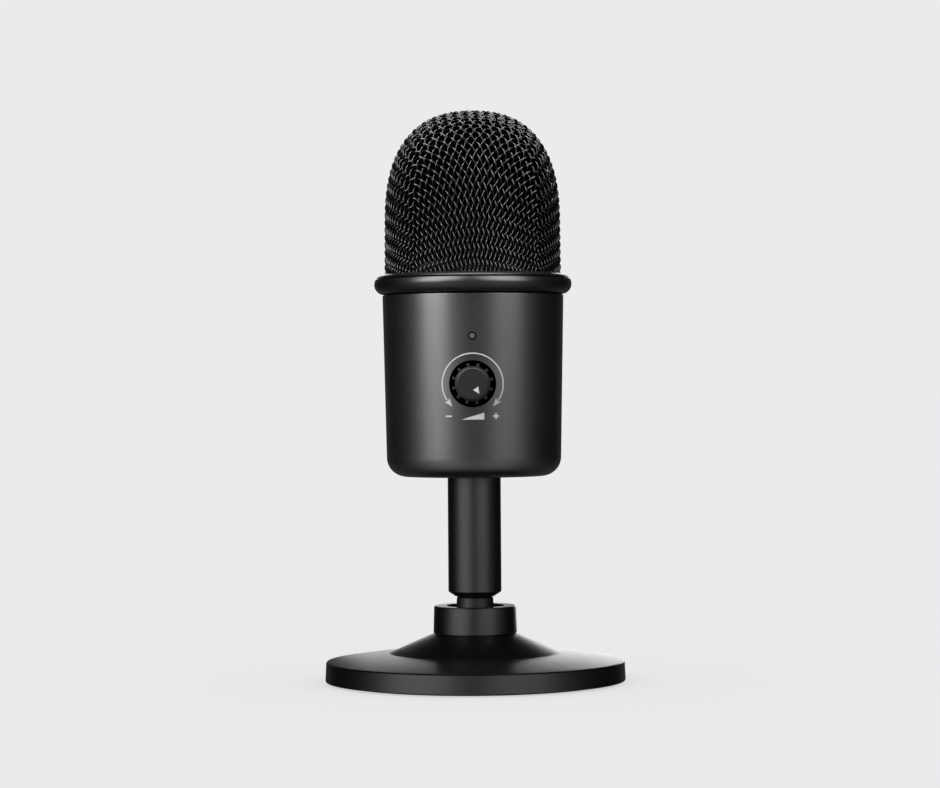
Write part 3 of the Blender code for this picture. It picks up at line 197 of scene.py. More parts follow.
# %% [markdown]
# ## Writing materials as sums
# A node material is a small calculation. The class below wraps one socket, so `1 - mask` or `grain * 0.2`
# adds the Math node that does it. Adding and linking each of them by name would hide the sum. Every other
# node comes from `node`, which sets the node's own settings first and then its sockets, each with a number
# or with another socket.

# %% Sockets that add up
class Socket:
    """One output socket of a node tree."""

    def __init__(self, tree, output=None):
        self.tree = tree
        self.output = output

    def node(self, kind, settings=None, sockets=None, output=0):
        """Add a node and return one of its outputs."""
        made = self.tree.nodes.new(kind)
        for key, value in (settings or {}).items():
            if key == "stops":
                self.set_stops(made.color_ramp, value)
            else:
                setattr(made, key, value)
        for key, value in (sockets or {}).items():
            if isinstance(value, Socket):
                self.tree.links.new(value.output, made.inputs[key])
            else:
                made.inputs[key].default_value = value
        return Socket(self.tree, made.outputs[output])

    @staticmethod
    def set_stops(ramp, stops):
        """Stops of a ramp as pairs of place and grey level."""
        while len(ramp.elements) < len(stops):
            ramp.elements.new(1.0)
        for element, (place, level) in zip(ramp.elements, stops):
            element.position = place
            element.color = (level, level, level, 1.0)

    def maths(self, operation, first, second):
        return self.node("ShaderNodeMath", {"operation": operation}, {0: first, 1: second})

    def __add__(self, other):
        return self.maths("ADD", self, other)

    def __mul__(self, other):
        return self.maths("MULTIPLY", self, other)

    def __sub__(self, other):
        return self.maths("SUBTRACT", self, other)

    def __rsub__(self, other):
        return self.maths("SUBTRACT", other, self)

    __radd__ = __add__
    __rmul__ = __mul__


print("sockets add, subtract and multiply")

# %% [markdown]
# ## The parts that all finishes share
# A finish starts as a Principled shader whose constants are set on its own sockets. What varies over the
# surface reads Object coordinates, so a pattern stays with its piece when a joint moves.
# Two greys are blended by a mask with a Mix node, because a Math node would lose the colour.

# %% Starting a finish
def new_finish(name, **constants):
    """A material with a Principled shader. Returns it with its tree and its object coordinates."""
    material = bpy.data.materials.new(name)
    material.use_nodes = True
    shader = material.node_tree.nodes["Principled BSDF"]
    for socket, value in constants.items():
        shader.inputs[socket.replace("_", " ")].default_value = value
    tree = Socket(material.node_tree)
    return material, tree, tree.node("ShaderNodeTexCoord", output="Object")


def feed(material, **links):
    """Link sockets to the shader's inputs."""
    shader = material.node_tree.nodes["Principled BSDF"]
    for socket, source in links.items():
        material.node_tree.links.new(source.output, shader.inputs[socket.replace("_", " ")])


def noise(tree, place, size, detail=2.0):
    """Noise from 0 to 1 whose lumps measure about size millimetres."""
    return tree.node("ShaderNodeTexNoise", {}, {"Vector": place, "Scale": 1 / (size * MM), "Detail": detail})


def blend(tree, mask, first, second):
    """Go from the first colour to the second as the mask goes from 0 to 1."""
    return tree.node("ShaderNodeMix", {"data_type": "RGBA"},
                     {0: mask, 6: (*first, 1.0), 7: (*second, 1.0)}, output=2)


def bump(tree, height, depth, strength=1.0):
    """A bump of depth millimetres from a height between 0 and 1."""
    return tree.node("ShaderNodeBump", {}, {"Strength": strength, "Distance": depth * MM, "Height": height})


def grey(level):
    """A colour with no hue."""
    return level, level, level


print("a finish is fed by noise, blend and bump")

# %% [markdown]
# ## Satin paint
# The body, the stem and the base are painted metal. Sprayed paint dries with a very fine skin and with
# slow changes of gloss, and dust dulls it a little. One even grey would look drawn, so three noises of
# different size do this: a fine one for the skin, a middle one for the gloss and a wide one for the colour.
# Nearly all that is seen of such a black paint is its gloss. Its index of refraction and its shine are fitted
# to the dark room that is built at the end, and in a pale room both should be lower.

# %% Paint
PAINT_INDEX, SKIN_DEPTH, GLOSS_SPREAD = 1.9, 0.003, 0.05


def satin_paint(name, dark, light, roughness, shine):
    material, tree, place = new_finish(name, Roughness=roughness, IOR=PAINT_INDEX, Specular_IOR_Level=shine)
    skin = noise(tree, place, 0.22, 3.0)
    cloud = noise(tree, place, 9.0)
    gloss = noise(tree, place, 2.5) * GLOSS_SPREAD + (roughness - GLOSS_SPREAD / 2)
    feed(material, Base_Color=blend(tree, cloud, dark, light), Roughness=gloss,
         Normal=bump(tree, skin, SKIN_DEPTH))
    return material


BODY_PAINT = satin_paint("satin_black_body", grey(0.0013), grey(0.0019), 0.325, 1.0)
STEM_PAINT = satin_paint("satin_black_stem", grey(0.0013), grey(0.0019), 0.36, 0.75)
BASE_PAINT = satin_paint("satin_black_base", grey(0.0008), grey(0.0012), 0.34, 0.78)
RING_PAINT = satin_paint("satin_black_ring", grey(0.0012), grey(0.0017), 0.31, 0.42)
print("paints:", BODY_PAINT.name, STEM_PAINT.name, BASE_PAINT.name, RING_PAINT.name)

# %% [markdown]
# ## Wire, plastic and ink
# The wires are steel under a thin black coat that has worn slightly where they stand proud.
# Moulded plastic takes the fine spark texture of its mould, and ink lies dull on the paint. Ink and the
# gloss-free black that paints the shade in the recesses are the plastic's few nodes with other values, so
# they need no finish of their own.

# %% Wire and plastic
def coated_wire(name):
    material, tree, place = new_finish(name, Roughness=0.25, IOR=1.6, Specular_IOR_Level=0.25)
    skin = noise(tree, place, 0.35, 2.0)
    worn = noise(tree, place, 1.6)
    feed(material, Base_Color=blend(tree, worn, grey(0.0004), grey(0.0008)),
         Roughness=worn * 0.06 + 0.22, Normal=bump(tree, skin, 0.001))
    return material


def moulded_plastic(name, dark, light, roughness, grain=0.16, depth=0.006, shine=0.5):
    material, tree, place = new_finish(name, Roughness=roughness, Specular_IOR_Level=shine)
    spark = noise(tree, place, grain, 3.0)
    cloud = noise(tree, place, 6.0)
    feed(material, Base_Color=blend(tree, cloud, dark, light), Roughness=spark * 0.14 + (roughness - 0.07),
         Normal=bump(tree, spark, depth))
    return material


WIRE_COAT = coated_wire("black_coated_wire")
HOOP_COAT = moulded_plastic("black_coated_hoop", grey(0.001), grey(0.002), 0.7)
KNOB_PLASTIC = moulded_plastic("knob_plastic", grey(0.022), grey(0.027), 0.30, depth=0.002)
BLACK_PLASTIC = moulded_plastic("black_plastic", grey(0.016), (0.022, 0.022, 0.023), 0.55)
LENS_PLASTIC = moulded_plastic("light_window", grey(0.100), (0.115, 0.115, 0.117), 0.3, 0.4, 0.003)
PRINT_INK = moulded_plastic("grey_ink", grey(0.56), grey(0.61), 0.6, 0.1, 0.003, 0.2)
# painted shade: a darker black without gloss for the insides of the knob's well and the light's hole
RECESS_SHADE_BLACK = moulded_plastic("recess_shade_black", grey(0.0006), grey(0.0012), 0.9, shine=0.0)
print("wire, plastic and ink:", WIRE_COAT.name, KNOB_PLASTIC.name, PRINT_INK.name)

# %% [markdown]
# ## Rubber and foam
# The foot's rubber is moulded with small pebbles and holds a speckle of dust. Foam is a web of thin walls
# round open cells. Voronoi cells give both: their distance makes round pebbles, and the distance to their
# edge makes walls. The open cells are painted darker than their walls, as painted shade in the hollows of the
# foam.

# %% Rubber and foam
def dusty_rubber(name):
    material, tree, place = new_finish(name, Roughness=0.75)
    pebble = tree.node("ShaderNodeTexVoronoi", {}, {"Vector": place, "Scale": 1 / (0.9 * MM)}, "Distance")
    dust = noise(tree, place, 0.5, 4.0)
    feed(material, Base_Color=blend(tree, dust, grey(0.010), (0.024, 0.024, 0.025)),
         Roughness=dust * 0.2 + 0.66, Normal=bump(tree, pebble, 0.05, 0.6))
    return material


def open_foam(name):
    material, tree, place = new_finish(name, Roughness=0.95, Specular_IOR_Level=0.0)
    cell = tree.node("ShaderNodeTexVoronoi", {"feature": "DISTANCE_TO_EDGE"},
                     {"Vector": place, "Scale": 1 / (0.8 * MM)}, "Distance")
    wall = tree.node("ShaderNodeValToRGB", {"stops": [(0.05, 1.0), (0.3, 0.0)]}, {0: cell})
    # painted shade: the open cells between the walls are darker than the walls
    feed(material, Base_Color=blend(tree, wall, grey(0.0004), grey(0.0015)), Normal=bump(tree, wall, 0.2))
    return material


RUBBER = dusty_rubber("foot_rubber")
FOAM = open_foam("liner_foam")
print("soft finishes:", RUBBER.name, FOAM.name)

# %% [markdown]
# ## Bare metals and the inner finishes
# What sits inside shows only when the shells come off, but it is dressed too. Machined metal has fine
# lines round its axis, cast iron is coarse, and a circuit board has copper tracks under green lacquer.
# Pictures of such surfaces could be wrapped on, but noise and bricks need no files and have no seams.

# %% Metals, nylon and boards
def machined_metal(name, dark, light, roughness):
    material, tree, place = new_finish(name, Metallic=1.0, Roughness=roughness)
    drawn = tree.node("ShaderNodeMapping", {}, {"Vector": place, "Scale": (1.0, 1.0, 9.0)})
    lines = noise(tree, drawn, 0.8, 3.0)
    feed(material, Base_Color=blend(tree, lines, dark, light), Roughness=lines * 0.16 + (roughness - 0.08),
         Normal=bump(tree, lines, 0.004))
    return material


def cast_metal(name):
    material, tree, place = new_finish(name, Metallic=0.8, Roughness=0.65)
    coarse = noise(tree, place, 1.4, 5.0)
    feed(material, Base_Color=blend(tree, coarse, grey(0.06), (0.16, 0.16, 0.165)),
         Roughness=coarse * 0.2 + 0.55, Normal=bump(tree, coarse, 0.15))
    return material


def circuit_board(name):
    material, tree, place = new_finish(name, Roughness=0.35)
    track = tree.node("ShaderNodeTexBrick", {},
                      {"Vector": place, "Scale": 1 / (2.4 * MM), "Mortar Size": 0.06}, "Fac")
    feed(material, Base_Color=blend(tree, track, (0.008, 0.075, 0.030), (0.020, 0.130, 0.055)),
         Roughness=track * 0.1 + 0.3, Normal=bump(tree, track, 0.03))
    return material


STEEL = machined_metal("plain_steel", (0.42, 0.43, 0.44), (0.60, 0.61, 0.62), 0.33)
BLACK_STEEL = machined_metal("blackened_steel", (0.042, 0.042, 0.043), (0.060, 0.060, 0.062), 0.5)
BRASS = machined_metal("turned_brass", (0.62, 0.44, 0.20), (0.80, 0.60, 0.30), 0.3)
ALUMINIUM = machined_metal("bare_aluminium", (0.66, 0.67, 0.68), (0.80, 0.81, 0.82), 0.34)
IRON = cast_metal("cast_iron")
NYLON = moulded_plastic("white_nylon", (0.64, 0.63, 0.60), (0.72, 0.71, 0.68), 0.5)
CABLE = moulded_plastic("grey_cable", (0.20, 0.20, 0.21), (0.28, 0.28, 0.29), 0.6)
BOARD = circuit_board("green_board")
print("inner finishes:", STEEL.name, BRASS.name, IRON.name, BOARD.name)

# %% [markdown]
# ## The last touch on every piece
# A shape becomes a piece of the microphone when it is shaded, dressed and hung on a body of the frame.
# Faces that meet at a small angle are shaded smooth, and weighted normals keep large faces flat beside
# their bevels. One function does it all, so no piece can be forgotten half way.

# %% Settling a piece
SHARP = radians(32)


def modified(piece, kind, **settings):
    """Add a modifier, set it up and apply it."""
    take(piece)
    bpy.ops.object.modifier_add(type=kind)
    change = piece.modifiers[-1]
    for setting, value in settings.items():
        setattr(change, setting, value)
    bpy.ops.object.modifier_apply(modifier=change.name)


def settle(piece, body, finish, stands_for=(), sharp=SHARP):
    """Shade a finished piece, dress it and hang it on a body of the frame."""
    take(piece)
    bpy.ops.object.shade_smooth_by_angle(angle=sharp)
    modified(piece, "WEIGHTED_NORMAL", keep_sharp=True)
    piece.data.materials.clear()
    piece.data.materials.append(finish)
    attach(piece, body)
    if stands_for:
        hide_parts(*stands_for)
    print(f"{piece.name} rides on {body} and stands for {list(stands_for)}")


print(f"edges over {degrees(SHARP):.0f} degrees stay sharp")

# %% [markdown]
# ## Foot pad
# A rubber disc keeps the base from sliding. A squashed cylinder would do for its body, but the lathe gives
# the same disc with an outline that can be read, and a bevel rounds its lower rim.

# %% Foot pad
PAD_ROUND = 0.35
pad_radius, _, pad_top = box_mm("foot_pad")[1]
foot_pad = turned("rubber_foot_pad", [(0, pad_top), (pad_radius, pad_top), (pad_radius, 0), (0, 0)])
soften_ring(foot_pad, pad_radius, 0, PAD_ROUND)
settle(foot_pad, "base", RUBBER, ["foot_pad"])

# %% [markdown]
# ## Base shell
# The base is spun from sheet and painted: an upright wall, a gently crowned top, a crease, and a cone that
# climbs to the collar. Inside the cone a cup takes the ball's seat. Stacked cylinders and cones would leave
# seams. One outline goes from the cup's floor over the top, round the rim and back underneath, so the turned
# shell is closed.

# %% Base shell
base_low, base_high = box_mm("base_shell")
BASE_WALL = 2.2
CUP_FLOOR, CUP_FOOT, CUP_BORE, SPIGOT = 5.0, 4.0, 10.4, 12.0
LAND, LAND_RADIUS = 16.15, 14.2
CREASE, CREASE_RADIUS = 9.8, 28.5
RIM, DRAFT, BULGE, CROWN_POINTS = 7.1, 0.3, 0.2, 10
RIM_ROUND, FOOT_ROUND, CREASE_ROUND = 0.5, 0.4, 0.3
rim_radius = base_high.x - DRAFT
inner_radius = base_high.x - BASE_WALL


def crown(share):
    """A point of the crowned top, from the crease at 0 to the rim at 1."""
    lift = 4 * BULGE * share * (1 - share)
    return CREASE_RADIUS + (rim_radius - CREASE_RADIUS) * share, CREASE + (RIM - CREASE) * share + lift


base_outline = [(0, CUP_FLOOR), (CUP_BORE, CUP_FLOOR), (CUP_BORE, base_high.z), (SPIGOT, base_high.z),
                (SPIGOT, LAND), (LAND_RADIUS, LAND)]
base_outline += [crown(step / CROWN_POINTS) for step in range(CROWN_POINTS + 1)]
base_outline += [(base_high.x, base_low.z), (inner_radius, base_low.z), (inner_radius, RIM - BASE_WALL),
                 (CREASE_RADIUS, CREASE - BASE_WALL), (LAND_RADIUS, LAND - BASE_WALL),
                 (SPIGOT, LAND - BASE_WALL), (SPIGOT, CUP_FOOT), (0, CUP_FOOT)]
base_shell = turned("painted_base_shell", base_outline, FINE)
soften_ring(base_shell, rim_radius, RIM, RIM_ROUND)
soften_ring(base_shell, base_high.x, base_low.z, FOOT_ROUND)
soften_ring(base_shell, CREASE_RADIUS, CREASE, CREASE_ROUND, 3)
settle(base_shell, "base", BASE_PAINT, ["base_shell"])

# %% [markdown]
# ## Collar
# The collar is a turned nut that clamps the ball from above. Its mouth is a short cone that lets the neck
# lean, and inside it the lip follows the ball. A Boolean with a sphere could cut that lip, but it would leave
# long thin faces. On the lathe one closed outline runs down the outside and up the inside.

# %% Collar
collar_low, collar_high = box_mm("collar")
ball_low, ball_high = box_mm("ball_stud")
COLLAR_DRAFT, COLLAR_BORE, COLLAR_SHOULDER = 0.25, 12.3, 19.9
MOUTH_RADIUS, LIP_RADIUS, BALL_ROOM = 9.8, 8.7, 9.8
COLLAR_ROUND, MOUTH_ROUND, COLLAR_FOOT_ROUND = 0.5, 0.25, 0.2
ball_radius = ball_high.x
ball_level = ball_low.z + ball_radius
lip_turn = degrees(acos(LIP_RADIUS / BALL_ROOM))
shoulder_turn = degrees(asin((COLLAR_SHOULDER - ball_level) / BALL_ROOM))
collar_top_radius = collar_high.x - COLLAR_DRAFT
collar_outline = [(MOUTH_RADIUS, collar_high.z), (collar_top_radius, collar_high.z),
                  (collar_high.x, collar_low.z), (COLLAR_BORE, collar_low.z), (COLLAR_BORE, COLLAR_SHOULDER)]
collar_outline += arc(0, ball_level, BALL_ROOM, shoulder_turn, lip_turn)
collar_outline += [collar_outline[0]]
collar = turned("clamp_collar", collar_outline)
soften_ring(collar, collar_top_radius, collar_high.z, COLLAR_ROUND)
soften_ring(collar, MOUTH_RADIUS, collar_high.z, MOUTH_ROUND)
soften_ring(collar, collar_high.x, collar_low.z, COLLAR_FOOT_ROUND)
settle(collar, "base", BASE_PAINT, ["collar"])

# %% [markdown]
# ## Ball stud
# Ball, neck and shank are one turned steel piece. A sphere joined to a cylinder would meet it in a hard
# line. Here the neck flares into the ball with a small fillet that touches both, where it dips into the
# collar, so its centre is worked out from the two radii.

# %% Ball stud
NECK_RADIUS, NECK_FLARE, NECK_FILLET, SHANK_RADIUS = 6.05, 0.2, 1.5, 4.0
NECK_GAP, NECK_ROUND, BALL_POINTS = 0.3, 0.3, 40
stem_low, stem_high = box_mm("stem")
neck_top = stem_low.z - NECK_GAP
fillet_r = NECK_RADIUS + NECK_FLARE + NECK_FILLET
fillet_z = sqrt((ball_radius + NECK_FILLET) ** 2 - fillet_r ** 2)
meet = degrees(atan2(fillet_z, fillet_r))
stud_outline = [(0, ball_high.z), (SHANK_RADIUS, ball_high.z), (SHANK_RADIUS, neck_top)]
stud_outline += [(NECK_RADIUS, neck_top)]
stud_outline += arc(fillet_r, ball_level + fillet_z, NECK_FILLET, 180, 180 + meet)
stud_outline += arc(0, ball_level, ball_radius, meet, -90, BALL_POINTS)[1:]
ball_stud = turned("ball_and_neck", stud_outline, PLAIN)
soften_ring(ball_stud, NECK_RADIUS, neck_top, NECK_ROUND)
settle(ball_stud, "ball", BLACK_STEEL, ["ball_stud"])

# %% [markdown]
# ## Stem
# The stem is a length of painted tube with a cone turned on its lower end. A cylinder with a Bevel could
# make it, but then the bore would need a second cut. On the lathe both are one outline. The bore takes the
# ball's shank from below and the stud of the body from above.

# %% Stem
STEM_CHAMFER, STEM_FOOT_RADIUS, BORE, BORE_MIDDLE = 1.65, 6.35, 4.3, 54.0
STEM_ROUND, CHAMFER_ROUND, STEM_FOOT_ROUND = 0.3, 0.25, 0.2
stem_radius = stem_high.x
stem_outline = [(BORE, stem_high.z), (stem_radius, stem_high.z), (stem_radius, stem_low.z + STEM_CHAMFER),
                (STEM_FOOT_RADIUS, stem_low.z), (BORE, stem_low.z), (BORE, BORE_MIDDLE), (BORE, stem_high.z)]
stem = turned("painted_stem", stem_outline)
soften_ring(stem, stem_radius, stem_high.z, STEM_ROUND)
soften_ring(stem, stem_radius, stem_low.z + STEM_CHAMFER, CHAMFER_ROUND)
soften_ring(stem, STEM_FOOT_RADIUS, stem_low.z, STEM_FOOT_ROUND)
settle(stem, "microphone", STEM_PAINT, ["stem"])

# %% [markdown]
# ## Body shell
# The housing is a deep drawn cup that widens a little towards its top, with a generous fillet at its foot.
# Solidify on a tapered cylinder would give it one thickness all over, but its floor is thicker than its wall,
# so both sides are drawn. The wall is split into rings every few millimetres, so that the holes cut later
# disturb only the faces near them and the paint keeps its smooth shading.

# %% Body shell, turned
body_low, body_high = box_mm("body_shell")
BODY_FOOT_RADIUS, BODY_WALL, BODY_FLOOR, BODY_FILLET, STEM_HOLE = 28.92, 2.2, 3.0, 6.4, 6.0
WALL_RINGS, FILLET_POINTS, BODY_ROUND = 12, 14, 0.3
body_top_radius = body_high.x


def body_radius(height):
    """Outer radius of the tapered housing at a height in millimetres."""
    share = (height - body_low.z) / (body_high.z - body_low.z)
    return BODY_FOOT_RADIUS + (body_top_radius - BODY_FOOT_RADIUS) * share


fillet_level = body_low.z + BODY_FILLET
fillet_centre = body_radius(fillet_level) - BODY_FILLET
inner_fillet = BODY_FILLET - BODY_WALL
floor_level = body_low.z + BODY_FLOOR
wall_levels = [body_high.z + (fillet_level - body_high.z) * step / WALL_RINGS for step in range(WALL_RINGS)]
body_outline = [(body_radius(level), level) for level in wall_levels]
body_outline += arc(fillet_centre, fillet_level, BODY_FILLET, 0, -90, FILLET_POINTS)
body_outline += [(STEM_HOLE, body_low.z), (STEM_HOLE, floor_level)]
body_outline += arc(fillet_centre, floor_level + inner_fillet, inner_fillet, -90, 0)
body_outline += [(body_top_radius - BODY_WALL, body_high.z), (body_top_radius, body_high.z)]
body_shell = turned("painted_body_shell", body_outline, FINE)
soften_ring(body_shell, body_top_radius, body_high.z, BODY_ROUND)

# %% [markdown]
# ## Tools for cutting the shell
# Holes are cut by Booleans with helper shapes, as drills and punches cut the real shell. A helper is made
# round the Z axis, where primitives stand, then turned to face the front, used and thrown away. Cutting the
# faces by hand would follow the curved wall less exactly.

# %% Drills and punches
SLOT_SIDES = 64


def carve(piece, helper, operation="DIFFERENCE"):
    """Cut a helper shape out of a piece, or join it on, and throw the helper away."""
    modified(piece, "BOOLEAN", operation=operation, object=helper)
    bpy.data.objects.remove(helper)


def face_front(piece, y, z):
    """Turn a piece that was made round the Z axis to point out of the front, and put it in place."""
    take(piece)
    piece.rotation_euler = (pi / 2, 0, 0)
    piece.location = Vector((0, y, z)) * MM
    bpy.ops.object.transform_apply(location=True, rotation=True, scale=True)
    return piece


def front_rod(radius, start, end, level, sides=PLAIN):
    """A helper cylinder along Y between two depths."""
    take()
    bpy.ops.mesh.primitive_cylinder_add(vertices=sides, radius=radius * MM, depth=abs(end - start) * MM)
    return face_front(bpy.context.object, (start + end) / 2, level)


def slot_prism(name, width, height, depth):
    """A prism with half round ends, made along the Z axis: a circle pulled apart and extruded."""
    take()
    bpy.ops.mesh.primitive_circle_add(vertices=SLOT_SIDES, radius=height / 2 * MM, fill_type="NGON")
    piece = bpy.context.object
    piece.name = piece.data.name = name
    pull = (width - height) / 2 * MM
    pick(piece, "VERT", lambda vertex: vertex.co.x > 0)
    bpy.ops.transform.translate(value=(pull, 0, 0))
    pick(piece, "VERT", lambda vertex: vertex.co.x <= 0)
    bpy.ops.transform.translate(value=(-pull, 0, 0))
    bpy.ops.mesh.select_all(action="SELECT")
    bpy.ops.mesh.extrude_region_move(TRANSFORM_OT_translate={"value": (0, 0, depth * MM)})
    close_up()
    return piece


print("drills have", PLAIN, "sides, the punch", SLOT_SIDES)

# %% [markdown]
# ## Holes of the body shell
# The knob sits in a round well, the status light in a small hole, and the cable's inlet in a slot at the
# back. The well is deeper than the wall is thick. A separate cup behind a hole would show a seam, so a boss
# is joined on behind the wall before the well is cut.

# %% Body shell, holes
knob_low, knob_high = box_mm("gain_knob")
knob_level = (knob_low.z + knob_high.z) / 2
lens_low, lens_high = box_mm("led_lens")
lens_level = (lens_low.z + lens_high.z) / 2
socket_low, socket_high = box_mm("usb_socket")
socket_level = (socket_low.z + socket_high.z) / 2
socket_size = socket_high - socket_low
WELL_RADIUS, WELL_WALL, WELL_FLOOR, GAP = 7.65, 1.9, 1.2, 0.3
LENS_HOLE, LENS_SIDES, SHAFT_HOLE, SHAFT_SIDES = 1.4, 32, 3.3, 48
OUTSIDE, INSIDE, MARGIN = -40, -20, 1.0
well_floor = knob_high.y + GAP
boss_radius = WELL_RADIUS + WELL_WALL
boss_start = GAP - sqrt(body_radius(knob_level) ** 2 - boss_radius ** 2)
boss_end = well_floor + WELL_FLOOR
carve(body_shell, front_rod(boss_radius, boss_start, boss_end, knob_level), "UNION")
carve(body_shell, front_rod(WELL_RADIUS, OUTSIDE, well_floor, knob_level))
carve(body_shell, front_rod(SHAFT_HOLE, well_floor - MARGIN, boss_end + MARGIN, knob_level, SHAFT_SIDES))
carve(body_shell, front_rod(LENS_HOLE, OUTSIDE, INSIDE, lens_level, LENS_SIDES))
slot_helper = slot_prism("slot", socket_size.x + 2 * GAP, socket_size.z + 2 * GAP, INSIDE - OUTSIDE)
carve(body_shell, face_front(slot_helper, -OUTSIDE, socket_level))
settle(body_shell, "microphone", BODY_PAINT, ["body_shell"])

# %% [markdown]
# ## Painted shade in the holes
# The insides of the knob's well and of the light's hole take a darker black without gloss. This is painted
# shade, because these recesses lie in shade. Splitting the shell in two would leave a seam, so its faces
# there take a second material instead. They are found by their distance from the axis of each hole.

# %% Body shell, painted shade in the holes
# the second material paints the shade inside the well and the light's hole
body_shell.data.materials.append(RECESS_SHADE_BLACK)
for face in body_shell.data.polygons:
    x, y, z = face.center / MM
    in_well = hypot(x, z - knob_level) < WELL_RADIUS - NEAR / 2
    in_hole = hypot(x, z - lens_level) < LENS_HOLE
    face.material_index = 1 if y < 0 and (in_well or in_hole) else 0
# counts the faces that take the painted shade
print("unpainted faces:", sum(face.material_index for face in body_shell.data.polygons))

# %% [markdown]
# ## Shapes for the print
# Round the knob a thin arc with two arrowheads, a minus, a plus and a rising wedge are pad printed in grey.
# Each is drawn flat first, from three simple shapes that are cut finely enough to follow the round shell: a
# line spun to an arc, a triangle and a bar.

# %% Flat shapes
ARC_RADIUS, ARC_LINE, ARC_TURN, ARC_STEPS = 9.88, 0.41, 123, 120
BAR_CUTS = 8


def flat_arc():
    """A line bent round the knob: a short edge across the line, spun clockwise from its left end."""
    turn = radians(ARC_TURN)
    outwards = Vector((-sin(turn), cos(turn), 0))
    piece = start_vertex("arc", *(outwards * (ARC_RADIUS - ARC_LINE / 2)))
    draw_on(*(outwards * ARC_LINE))
    bpy.ops.mesh.select_all(action="SELECT")
    bpy.ops.mesh.spin(steps=ARC_STEPS, angle=2 * turn, center=(0, 0, 0), axis=(0, 0, 1))
    bpy.ops.object.mode_set(mode="OBJECT")
    return piece


def flat_triangle(name, points, cuts):
    """A filled triangle between three points."""
    first, second, third = [Vector((x, y, 0)) for x, y in points]
    piece = start_vertex(name, *first)
    draw_on(*(second - first))
    draw_on(*(third - second))
    bpy.ops.mesh.select_all(action="SELECT")
    bpy.ops.mesh.edge_face_add()
    bpy.ops.mesh.subdivide(number_cuts=cuts)
    bpy.ops.object.mode_set(mode="OBJECT")
    return piece


def flat_bar(name, x, y, width, height):
    """A filled rectangle about a middle."""
    take()
    bpy.ops.mesh.primitive_grid_add(x_subdivisions=BAR_CUTS, y_subdivisions=BAR_CUTS, size=1)
    piece = bpy.context.object
    piece.name = piece.data.name = name
    bpy.ops.object.mode_set(mode="EDIT")
    bpy.ops.transform.resize(value=(width * MM, height * MM, 1))
    bpy.ops.transform.translate(value=(x * MM, y * MM, 0))
    bpy.ops.object.mode_set(mode="OBJECT")
    return piece


flat_marks = [flat_arc()]
print("arc of the print:", len(flat_marks[0].data.polygons), "faces")

# %% [markdown]
# ## Marks of the print
# An arrowhead has a notch in its back, so it is two triangles that share the line from tip to notch. The
# plus is a bar with an arm above and below, which keeps its parts from lying in each other.

# %% Marks, drawn flat
ARROW_TURN, ARROW_LEAN, ARROW_LENGTH, ARROW_WIDTH, ARROW_NOTCH, ARROW_CUTS = 138.5, 9, 2.8, 2.05, 0.45, 3
SIGN_DROP, SIGN_ASIDE, SIGN_SHIFT, SIGN_WIDTH, SIGN_STROKE = 10.5, 7.65, -0.15, 2.0, 0.5
WEDGE_WIDTH, WEDGE_HEIGHT, WEDGE_CUTS = 7.4, 2.2, 12


def arrow_points(side):
    """Tip, barb, notch and other barb of the arrowhead on one end of the arc."""
    turn = radians(ARROW_TURN) * side
    tip = Vector((sin(turn), cos(turn))) * ARC_RADIUS
    lean = radians(ARROW_TURN - ARROW_LEAN) * side
    along = Vector((cos(lean), -sin(lean))) * side
    across = Vector((-along.y, along.x)) * ARROW_WIDTH / 2
    back = tip - along * ARROW_LENGTH
    return tip, back + across, back + along * ARROW_NOTCH, back - across


for side in (-1, 1):
    tip, barb, notch, other_barb = arrow_points(side)
    flat_marks.append(flat_triangle("arrow", [tip, barb, notch], ARROW_CUTS))
    flat_marks.append(flat_triangle("arrow", [tip, notch, other_barb], ARROW_CUTS))
plus_x = SIGN_SHIFT + SIGN_ASIDE
flat_marks.append(flat_bar("minus", SIGN_SHIFT - SIGN_ASIDE, -SIGN_DROP, SIGN_WIDTH, SIGN_STROKE))
flat_marks.append(flat_bar("plus_across", plus_x, -SIGN_DROP, SIGN_WIDTH, SIGN_STROKE))
arm = (SIGN_WIDTH - SIGN_STROKE) / 2
for up in (-1, 1):
    arm_y = -SIGN_DROP + up * (arm + SIGN_STROKE) / 2
    flat_marks.append(flat_bar("plus_arm", plus_x, arm_y, SIGN_STROKE, arm))
half_wedge = WEDGE_WIDTH / 2
wedge_foot = -SIGN_DROP - WEDGE_HEIGHT / 2
wedge_corners = [(-half_wedge, wedge_foot), (half_wedge, wedge_foot), (half_wedge, wedge_foot + WEDGE_HEIGHT)]
flat_marks.append(flat_triangle("wedge", wedge_corners, WEDGE_CUTS))
print("flat marks:", [mark.name for mark in flat_marks])

# %% [markdown]
# ## Pressing the print on
# A printing pad presses a flat image on a round shell, and that is how it is made here: the flat marks stand
# in front of the shell, Shrinkwrap projects them on it, and Solidify gives the ink its thickness. An image
# texture could show the same, but real ink has an edge that catches light.

# %% Print, pressed on the shell
INK, INK_LIFT = 0.04, 0.01
take(*flat_marks)
bpy.ops.object.join()
dial_print = bpy.context.object
dial_print.name = dial_print.data.name = "dial_print"
face_front(dial_print, OUTSIDE, knob_level)
bpy.ops.object.mode_set(mode="EDIT")
close_up()
if sum(face.normal.y * face.area for face in dial_print.data.polygons) > 0:
    bpy.ops.object.mode_set(mode="EDIT")
    bpy.ops.mesh.flip_normals()
    bpy.ops.object.mode_set(mode="OBJECT")
modified(dial_print, "SHRINKWRAP", wrap_method="PROJECT", use_project_y=True, target=body_shell,
         offset=INK_LIFT * MM)
modified(dial_print, "SOLIDIFY", thickness=INK * MM, offset=1.0)
settle(dial_print, "microphone", PRINT_INK)

# %% [markdown]
# ## Light window
# A short rod of smoky plastic carries the light of the lamp inside to the front. Its end is slightly
# domed, and a dark gap shows round it in the hole of the shell. A sphere's cap would give the dome too, but
# rod, dome and flange are one moulding, so they are one outline.

